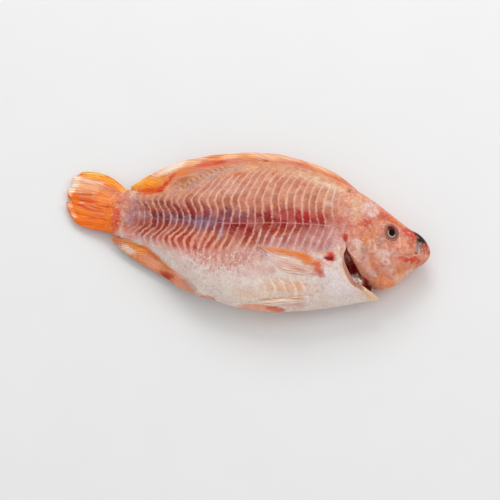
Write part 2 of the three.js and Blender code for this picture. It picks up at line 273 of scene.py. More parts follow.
def smooth(stations):
    """Monotone cubic through (x, value) stations: slopes are harmonic means, so no overshoot."""
    xs, ys = np.array(stations, float).T
    gaps = np.diff(xs)
    rises = np.diff(ys) / gaps
    slopes = np.zeros_like(ys)
    slopes[0], slopes[-1] = rises[0], rises[-1]
    turning = rises[:-1] * rises[1:] <= 0
    before, after = gaps[:-1] + 2 * gaps[1:], 2 * gaps[:-1] + gaps[1:]
    safe = np.where(turning, 1, rises[:-1]), np.where(turning, 1, rises[1:])
    mean = (before + after) / (before / safe[0] + after / safe[1])
    slopes[1:-1] = np.where(turning, 0, mean)

    def curve(x):
        x = np.clip(x, xs[0], xs[-1])
        i = np.clip(np.searchsorted(xs, x, side="right") - 1, 0, len(xs) - 2)
        t = (x - xs[i]) / gaps[i]
        rest = 1 - t
        return (
            ys[i] * (1 + 2 * t) * rest ** 2 + slopes[i] * gaps[i] * t * rest ** 2
            + ys[i + 1] * t * t * (3 - 2 * t) - slopes[i + 1] * gaps[i] * t * t * rest
        )

    return curve


def smooth_to_snout(stations):
    """The same over the root of the distance from the snout, so both outlines end round there."""
    curve = smooth([(math.sqrt(SNOUT_X - x), y) for x, y in reversed(stations)])
    return lambda x: curve(np.sqrt(np.maximum(SNOUT_X - x, 0)))


def along(points):
    """A smooth line through plan points: two monotone cubics over the share of the way."""
    shares = np.linspace(0, 1, len(points))
    x, y = (smooth(list(zip(shares, values))) for values in zip(*points))
    return lambda t: (x(t), y(t))


def step(low, high, x):
    """0 below low and 1 above high, with a cubic ease between; high may be the lower one."""
    t = np.clip((x - low) / (high - low), 0, 1)
    return t * t * (3 - 2 * t)


def span(low, full, last, high, x):
    """1 from full to last, with an ease down to 0 at low and at high."""
    return step(low, full, x) * (1 - step(last, high, x))


def bell(gap, width=1):
    """1 where the gap is 0, falling away on both sides: exp(-(gap / width)^2)."""
    return np.exp(-(gap / width) ** 2)


def swell(phase):
    """0 where the phase is whole and 1 halfway between: (1 - cos(2 pi phase)) / 2."""
    return 0.5 - 0.5 * np.cos(2 * np.pi * phase)


def mix(a, b, share):
    """a where the share is 0 and b where it is 1."""
    return a + (b - a) * share


def rounded(w, power):
    """1 across a strip, falling to 0 at its edges w = 0 and 1: (1 - (2w - 1)^power)^0.5."""
    return np.sqrt(np.maximum(0, 1 - (2 * w - 1) ** power))


def cloud(x, y, size, seed, waves=8):
    """Soft noise from about -1 to 1: the sum of sine waves in seeded directions, each about
    `size` millimetres long, over the root of their number."""
    rng = np.random.default_rng(seed)
    ranges = ((0, np.pi), (0, 2 * np.pi), (0.6, 1.6))
    total = 0
    for angle, start, stretch in zip(*[rng.uniform(*ends, waves) for ends in ranges]):
        wave = 2 * np.pi / (size * stretch)
        total = total + np.sin(wave * (x * np.cos(angle) + y * np.sin(angle)) + start)
    return total / math.sqrt(waves)


def clouds(x, y, kinds):
    """Several kinds of soft noise together, each given by its height, size and seed."""
    return sum(height * cloud(x, y, size, seed) for height, size, seed in kinds)


def in_ellipse(x, y, cx, cy, a, b, turn):
    """The distance of a plan point from an ellipse's centre, as a share of its half-lengths."""
    c, s = math.cos(math.radians(turn)), math.sin(math.radians(turn))
    dx, dy = x - cx, y - cy
    return np.hypot((dx * c + dy * s) / a, (dy * c - dx * s) / b)


def from_line(x, y, points):
    """The distance from a plan point to a line through points, in millimetres."""
    nearest = np.full(np.broadcast(x, y).shape, np.inf)
    for (ax, ay), (bx, by) in zip(points, points[1:]):
        length = (bx - ax) ** 2 + (by - ay) ** 2
        t = np.clip(((x - ax) * (bx - ax) + (y - ay) * (by - ay)) / length, 0, 1)
        nearest = np.minimum(nearest, np.hypot(x - ax - t * (bx - ax), y - ay - t * (by - ay)))
    return nearest


back, chin, half = (smooth_to_snout(line) for line in (BACK, CHIN, HALF))
belly, ridge, mid, rim, cover = (smooth(line) for line in (BELLY, RIDGE, MID, RIM, COVER))
seam, band_foot, belly_line, strip_line = (
    smooth(line) for line in (SEAM, BAND_FOOT, BELLY_LINE, STRIP_LINE)
)
band_front, band_middle, band_rear = (
    smooth(line) for line in (BAND_FRONT, BAND_MIDDLE, BAND_REAR)
)
band_count = np.cumsum(BAND_MARK / np.interp(BAND_MARKS, *np.array(BAND_PITCH, float).T))


def flank(x, y, lower):
    """Half the fish's thickness at a plan point: half(x) · (1 - r^power)^root, with r the share
    of the way from the ridge to the back, or to the lower outline."""
    crest = ridge(x)
    up = np.clip((y - crest) / np.maximum(back(x) - crest, TINY), 0, 1)
    down = np.clip((crest - y) / np.maximum(crest - lower(x), TINY), 0, 1)
    (up_power, up_root), (down_power, down_root) = BACK_FALL, BELLY_FALL
    rise, drop = (1 - up ** up_power) ** up_root, (1 - down ** down_power) ** down_root
    return half(x) * np.where(y > crest, rise, drop)


def band_phase(x, y):
    """A number that is whole on each pale seam between two muscle bands: the running sum of
    dx / pitch at the place where the band that passes here crosses the middle seam."""
    above = y - seam(x)
    lag = mix(band_middle(above), band_front(above), step(BAND_MIDDLE_X, BAND_FRONT_X, x))
    lag = mix(lag, band_rear(above), step(BAND_MIDDLE_X, BAND_REAR_X, x))
    wave = clouds(x, y, BAND_WAVES) + clouds(x, y, BAND_REAR_WAVES) * step(-50, -88, x)
    crossing, first = x - lag + wave, np.interp(BAND_ON_X, BAND_MARKS, band_count)
    return np.interp(crossing, BAND_MARKS, band_count) - first


def band_share(x, y):
    """How strongly the muscle bands show: all over the flank, weaker towards the back, fading
    into belly, back and head."""
    foot, low, top = band_foot(x), belly_line(x), strip_line(x)
    below = mix(0.32 * step(low - 5, low + 5, y), 1, step(foot - 3.5, foot + 3, y))
    upper = (1 - step(top - 6, top + 4, y)) * (1 - 0.15 * step(8, 34, y - seam(x)))
    return below * upper * span(-101, -80, 62, 80, x)


def rim_points(count=30, top=0.46, bunch=1.5):
    """Points of the line where the trunk ends at the gills, from the throat to the slit's top,
    bunched at the throat."""
    w = top * np.linspace(0, 1, count) ** bunch
    x = rim(w)
    return list(zip(x, mix(belly(x), back(x), w)))


# ------------------------------------------------------------------ meshes


def closed_mesh(name, points, ends):
    """A closed skin from a grid of loops. points[row, side] is in plan millimetres; each loop
    runs over the upper side and back under the lower one. ends gives, for the first and the
    last row, "zip" where the two sides meet in a line and "pole" where all is one point."""
    rows, sides = points.shape[:2]
    index = np.arange(rows * sides).reshape(rows, sides)
    for row, how in zip((0, -1), ends):
        if how == "zip":
            index[row, sides // 2 + 1:] = index[row, 1:sides // 2][::-1]
        else:
            index[row, :] = index[row, 0]
    used, index = np.unique(index, return_inverse=True)
    index = index.reshape(rows, sides)
    corners = (points.reshape(-1, 3)[used] + PLAN_SHIFT) * MM
    ahead = np.roll(index, -1, axis=1)
    quads = np.stack([index[:-1], ahead[:-1], ahead[1:], index[1:]], axis=-1).reshape(-1, 4)
    fresh = quads != np.roll(quads, 1, axis=1)
    quads, fresh = quads[fresh.sum(1) > 2], fresh[fresh.sum(1) > 2]
    a, b, c, d = (corners[quads[:, k]] for k in range(4))
    if np.sum(a * np.cross(b, c)) + np.sum(a * np.cross(c, d)) < 0:
        quads, fresh = quads[:, ::-1], fresh[:, ::-1]
    loops, totals = quads[fresh], fresh.sum(1)
    starts = np.concatenate([[0], np.cumsum(totals)[:-1]])
    mesh = bpy.data.meshes.new(name)
    mesh.vertices.add(len(corners))
    mesh.vertices.foreach_set("co", corners.astype(np.float32).ravel())
    mesh.loops.add(len(loops))
    mesh.loops.foreach_set("vertex_index", loops.astype(np.int32))
    mesh.polygons.add(len(totals))
    mesh.polygons.foreach_set("loop_start", starts.astype(np.int32))
    mesh.polygons.foreach_set("use_smooth", np.ones(len(totals), bool))
    mesh.update(calc_edges=True)
    mesh.validate()
    return mesh, used


def add_piece(name, node, slot, points, fields, ends=("zip", "zip")):
    """Makes one piece from a grid of loops and gives it its fields, each a value or a colour at
    every grid point, the material of its slot and its body, and hides the node that it stands for."""
    mesh, used = closed_mesh(name, points, ends)
    for field, values in fields.items():
        if values.ndim == 3:
            flat = np.insert(values.reshape(-1, 3)[used], 3, 1, axis=1)
            kind, key = "FLOAT_COLOR", "color"
        else:
            flat = values.reshape(-1)[used]
            kind, key = "FLOAT", "value"
        attribute = mesh.attributes.new(field, kind, "POINT")
        attribute.data.foreach_set(key, flat.astype(np.float32).ravel())
    mesh.materials.append(material_for(slot))
    piece = bpy.data.objects.new(name, mesh)
    bpy.context.scene.collection.objects.link(piece)
    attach(piece, "root")
    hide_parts(node)


def loop_sides(sides):
    """Across an outline and back: the share w from 0 to 1 and back, bunched at both edges, and
    which side each point is on: 1 above, -1 below, 0 on the first edge."""
    w = (1 - np.cos(2 * np.pi * np.arange(sides) / sides)) / 2
    side = np.sign(sides / 2 - np.arange(sides)).astype(float)
    side[0] = 0
    return w[None, :], side[None, :]


def strip(rows, sides):
    """The parameters of a closed strip: w and side as above, and u from 0 to 1 along it, with
    its first and last row doubled to close the strip."""
    return *loop_sides(sides), np.concatenate([[0], np.linspace(0, 1, rows), [1]])[:, None]


def at_rest(x, y, height):
    """A plan point with its height, never under the plane that the fish lies on."""
    return np.stack(np.broadcast_arrays(x, y, np.maximum(height, 0)), axis=-1)


def strip_points(x, y, middle, side, tall):
    """A strip's points: `tall` above and below its middle, and nothing at its shut ends."""
    tall[0] = tall[-1] = 0
    return at_rest(x, y, middle + side * tall)


# ------------------------------------------------------------------ relief of the skin

# soft bumps and hollows on both sides: x, y, half-lengths, turn in degrees, height
BUMPS = [
    (71, -40, 7, 9, 10, 0.9),  # muscle at the root of the breast fin
    (89, -32, 3.5, 15, 35, 0.35),  # rim behind the gill slit
    (98, 12, 20, 9, -32, 0.5),  # brain case
    (106, -18, 14, 17, 0, 0.5),  # cheek muscle
    (93, -22, 8, 13, 20, 0.4),  # gill cover plate
    (128, -24, 8, 6, 55, 0.5),  # jaw
    (127, -6, 6, 10, 20, -0.5),  # hollow before the eye
    (112, -38, 9, 2.2, 10, -0.3),  # fold above the throat
    (20, -60, 40, 9, 3, 0.5),  # belly wall
    (84, -54, 12, 5, -14, 0.4),
    (-92, -3, 12, 9, 0, -0.4),  # root of the tail
    (60, -10, 22, 10, 0, -0.3),
]
# thin ridges and grooves: points, half-width, height
CREASES = [
    ([(97, -6), (101, -11), (104.5, -18), (108, -25), (110.5, -31), (108, -35)], 1.5, 0.55),
    ([(94, -4), (97, -12), (100, -20), (103.5, -28), (106, -33)], 1.3, -0.4),
    ([(88, -8), (93, -18), (98, -27), (102, -33)], 2.2, 0.25),
    ([(110, -2), (112, -6.5), (117, -8.5), (122, -6), (124, 0)], 1.5, 0.4),
    ([(110.5, 4), (112, 10), (117, 12), (122, 9), (124, 3)], 1.4, 0.35),
    ([(138.5, -10.5), (133, -14), (127, -15)], 1.1, -0.55),
    ([(141, -15), (134, -21), (126, -27.5), (118, -32)], 1.3, 0.3),
    ([(124, 12), (131, 8), (136, 6)], 1.6, -0.3),
    ([(87, 33), (89, 20), (88, 6), (85, -5)], 1.4, -0.28),
    ([(93, 30), (95, 18), (95, 9)], 1.2, 0.2),
    ([(66, -52), (54, -54), (42, -54), (30, -52)], 1.3, -0.3),
    ([(60, -4), (66, -12), (70, -22), (70, -30)], 2.0, -0.3),
]
# the open mouth: the hollow, the rolled upper lip and the full lower lip
MOUTH = (141.0, -3.2, 3.1, 8.4, 12)
MOUTH_DEPTH = 2.4
MOUTH_RIDGE, MOUTH_RIDGE_PITCH = 0.5, 3.1
LIPS = [
    ([(135.5, 12), (138.5, 9.5), (141.5, 6.5), (144, 3.5)], 1.7, 1.0),
    ([(145.5, 2), (146.4, -3), (144.8, -8.5), (141, -12.2)], 1.8, 0.9),
]
# fine unevenness of the skin and of its scale pockets: height, size and seed of each noise
SKIN_WAVES = [(0.16, 17, 11), (0.07, 6.5, 12)]
POCKET_WAVES = [(0.16, 3.4, 13)]


def skin_relief(x, y, sizes):
    """Millimetres that the skin stands out or in: swelling muscle bands, the seam's groove,
    bones and muscles of the head as soft bumps and creases, lips, eye sockets and mouth."""
    low = belly_line(x)
    bulge = swell(band_phase(x, y)) ** 0.7 - 0.6
    height = sizes.band_relief / MM * band_share(x, y) * bulge
    height = height - 0.25 * bell(y - seam(x), 0.7) * span(-95, -80, 68, 78, x)
    for *place, rise in BUMPS:
        height = height + rise * np.exp(-1.6 * in_ellipse(x, y, *place) ** 2)
    for points, width, rise in CREASES + LIPS:
        height = height + rise * bell(from_line(x, y, points), width)
    pockets = span(low - 9, low - 1, low + 4, low + 12, y) * span(-45, -30, 18, 30, x)
    height = height + clouds(x, y, SKIN_WAVES) + pockets * clouds(x, y, POCKET_WAVES)
    mouth = in_ellipse(x, y, *MOUTH)
    tongue = MOUTH_RIDGE * np.sin(2 * np.pi * (y + 0.6 * x) / MOUTH_RIDGE_PITCH)
    height = height - MOUTH_DEPTH * (1 - step(0.55, 1.15, mouth))
    return height + tongue * (1 - step(0.5, 0.9, mouth))


def socket(x, y):
    """How deep the eye's socket is: an ellipse a little larger than the eye, with a soft brim."""
    a, b = EYE["length"] / 2 + SOCKET_GAP, EYE["height"] / 2 + SOCKET_GAP
    r = in_ellipse(x, y, EYE["x"], EYE["y"], a, b, math.degrees(EYE["turn"]))
    return SOCKET_DEPTH * (1 - step(0.80, 1.0, r)) - SOCKET_BRIM * bell(r - 1.12, 0.12)


def head_lip(x, y, w):
    """The gill cover's free edge stands proud of the flank, below the top of the slit."""
    near = 1 - step(0, COVER_LIP["reach"], x - cover(w))
    below = 1 - step(COVER_LIP["top_y"], COVER_LIP["top_y"] + COVER_LIP["fade"], y)
    full = np.minimum(1, flank(x, y, chin) / COVER_LIP["thin"])
    return COVER_LIP["height"] * near * below * full


def share_up(x, y, lower):
    """The share of the way up the body, from the lower outline to the back."""
    return np.clip((y - lower(x)) / np.maximum(back(x) - lower(x), TINY), 0, 1)


def skin_height(x, y, lower, sizes):
    """Half-thickness of the flank with its relief, which fades where the flank is thin."""
    smooth_flank = flank(x, y, lower)
    return smooth_flank + skin_relief(x, y, sizes) * np.clip(smooth_flank / RELIEF_FADE, 0, 1)


def nape_dive(way, whole, y):
    """How deep one skin dives under the other over the nape: by the square of the share of the
    way past the line where the two meet, above the gill slit only."""
    past = np.clip(way / np.maximum(whole, 0.5), 0, 1)
    return NAPE_DIVE * past ** 2 * step(SLIT_TOP_Y - 1, SLIT_TOP_Y + 2, y)


def throat_bevel(y):
    """How far the bevel reaches in from the rim, and how fully it has grown, down the throat."""
    grown = step(THROAT_BEVEL["from_y"], THROAT_BEVEL["full_y"], y)
    return THROAT_BEVEL["least"] + THROAT_BEVEL["reach"] * grown, grown


def trunk_points(sizes, rows=262, sides=304, roll=4, wall=9):
    """The trunk: loops from the root of the tail to the rim behind the gills. The rim is rolled
    over by a quarter turn, and its wall dishes back to the middle by 1 - s^2, with s the share
    of its height. Over the nape it dives under the head."""
    w, side = loop_sides(sides)
    edge = rim(w)
    u = np.linspace(0, 1, rows)[:, None]
    r = np.minimum(RIM_ROUND, 0.45 * flank(edge, mix(belly(edge), back(edge), w), belly))
    x = mix(TAIL_ROOT_X, edge - r, u)
    y = mix(belly(x), back(x), w)
    meet = (cover(share_up(x, y, chin)) + edge) / 2
    tall = skin_height(x, y, belly, sizes) - nape_dive(x - meet, edge - meet, y)
    reach, grown = throat_bevel(y)
    bevel = 1 - step(0, reach, from_line(x, y, rim_points()))
    tip = 1 - 0.6 * step(98, 108, x)
    tall = tall - np.minimum(THROAT_BEVEL["depth"] * bevel * grown * tip, 0.5 * tall)
    tall = np.maximum(tall, LEAST_TALL)
    grids = [(x[:1], y[:1], 0 * tall[:1], 0), (x, y, tall, 0)]
    last = tall[-1:]
    depths = iter(np.linspace(0.1, 1, roll + wall))
    for turn in np.linspace(0, np.pi / 2, roll + 1)[1:]:
        x = edge - r + r * np.sin(turn)
        grids.append((x, mix(belly(x), back(x), w), last - r * (1 - np.cos(turn)), next(depths)))
    for s in np.linspace(1, 0, wall + 1)[1:]:
        x = edge - RIM_DISH * (1 - s * s) * rounded(w, 4)
        grids.append((x, mix(belly(x), back(x), w), (last - r) * s, next(depths)))
    return skin_grid(grids, side, False, sizes)


def head_points(sizes, rows=168, sides=252, roll=5, inner=9, wall=5):
    """The head: loops from inside the gill cover, round its free edge by half a turn and on to
    the snout. The cover is a flap: its inner face lies one thickness under its outer one."""
    w, side = loop_sides(sides)
    edge = cover(w)
    thin = flank(edge, mix(chin(edge), back(edge), w), chin)
    r = np.minimum(FLAP["thick"] / 2, 0.3 * thin)

    def level(x):
        y = mix(chin(x), back(x), w)
        tall = skin_height(x, y, chin, sizes) + head_lip(x, y, w) - socket(x, y)
        meet = (edge + rim(share_up(x, y, belly))) / 2
        return y, np.maximum(tall - nape_dive(meet - x, meet - edge, y), LEAST_TALL)

    def under(tall, drop):
        return np.maximum(tall - 2 * r - drop, 0.2 * tall)

    deep = edge + FLAP["depth"]
    y, tall = level(deep)
    grids = [(deep, y, under(tall, 0.5) * s, 1) for s in np.linspace(0, 1, wall + 1)[:-1]]
    for t in np.linspace(1, 0, inner):
        x = mix(edge + r, deep, t)
        y, tall = level(x)
        grids.append((x, y, under(tall, 0.5 * t), 0.35 + 0.65 * t))
    for turn in np.linspace(0, np.pi, roll + 2)[1:-1]:
        x = edge + r - r * np.sin(turn)
        y = mix(chin(x), back(x), w)
        grids.append((x, y, tall - r - r * np.cos(turn), 0.3 * (1 - turn / np.pi)))
    for u in np.linspace(0, 1, rows):
        x = mix(edge + r, SNOUT_X, 1 - (1 - u) ** 2)
        y, tall = level(x)
        grids.append((x, y, tall * (u < 1), 0))
    return skin_grid(grids, side, True, sizes)


def skin_grid(grids, side, on_head, sizes):
    """Stacks rows of x, y, half-thickness and depth inside the slit, and gives them as points
    with the fields of the skin."""
    x, y, tall, depth = (
        np.concatenate([np.broadcast_to(grid[k], (len(grid[2]), side.size)) for grid in grids])
        for k in range(4)
    )
    points = at_rest(x, y, mid(x) + side * tall)
    return points, skin_fields(x, y, depth, on_head, sizes)


# ------------------------------------------------------------------ colour over the plan

HUES = {
    "flank pale": "#E29F82", "flank deep": "#B26446", "seam pale": "#CB8074",
    "seam deep": "#8C2C22", "low pale": "#EE9C88", "low deep": "#A93212", "front pale": "#DCA6A0",
    "front deep": "#BA6C6C", "back tan": "#D39067", "strip mauve": "#BF9386",
    "white belly": "#E9D6CC", "pink belly": "#E3BDB4", "rose belly": "#D99A8E",
    "lilac white": "#EBDCDB", "cream": "#E4BC9F", "bone": "#F3D3B6", "salmon": "#D98C70",
    "rose": "#E08874", "mauve": "#AE7679", "lilac": "#BFA0A6", "violet": "#7C3C50",
    "violet pale": "#A9889A", "slate": "#80758F", "crimson": "#8E0D0A", "blood": "#7C0604",
    "pink red": "#C85F5C", "red": "#C23A1C", "rim brown": "#A8603C", "red orange": "#DE5526",
    "orange": "#E38D55", "deep orange": "#F4761A", "amber": "#FCA630", "yellow": "#FEB010",
    "burnt": "#C24A08", "orange brown": "#A04A12", "brown": "#6E2E12", "grey pink": "#BC9085",
    "peach": "#FAC49C", "white fin": "#FDE8D8", "gold": "#F9CC74", "ink": "#0A0202",
    # gill dark: the gill's near black, also laid as painted shade in the slit and under the jaw
    "ash": "#A88680", "dark red": "#8A1208", "gill dark": "#4E0504", "gill brown": "#A04A32",
    "flesh white": "#FFF4EA", "line brown": "#D29C72", "eye shade": "#9C6A5C",
    "grey brown": "#A98A7C", "belly red": "#DC7250", "chevron cream": "#F8E0CC",
    "anal pink": "#F9A88C", "bright orange": "#FF9A58", "thread": "#F6E2D4",
    "bright crimson": "#A8161A", "maroon": "#5E262C", "fin red": "#DC3812",
    "salmon bright": "#F0A084", "rose zone": "#E3B4A9", "seam red": "#A85048",
    "burnt fin": "#D85408", "blotch": "#BC4C36", "blotch pale": "#EFCBBD", "pocket": "#C8857C",
    "brown pink": "#BC7C6C", "tan": "#E8A46E", "throat cream": "#F3CFA4", "core orange": "#B4562C",
    # speck is a painted highlight: pale glints of water on the skin
    "core violet": "#84404A", "rust": "#C2562C", "blood spot": "#940B04", "speck": "#FBEFE6",
    "eye ring": "#7A4438", "eye ring pale": "#BDAEA0", "iris": "#7E4A3E", "iris pale": "#9A6254",
    "iris dark": "#5C3530", "eye blood": "#5A0604", "eye brim": "#C98A76", "pupil": "#050201",
}
HUES = {name: linear(code) for name, code in HUES.items()}

# each patch of a table has a ragged brim of its own: its seed is the table's plus its place
SKIN_SEED, HEAD_SEED, BAND_SEED, GILL_SEED, FIN_SEED = 100, 300, 500, 600, 700
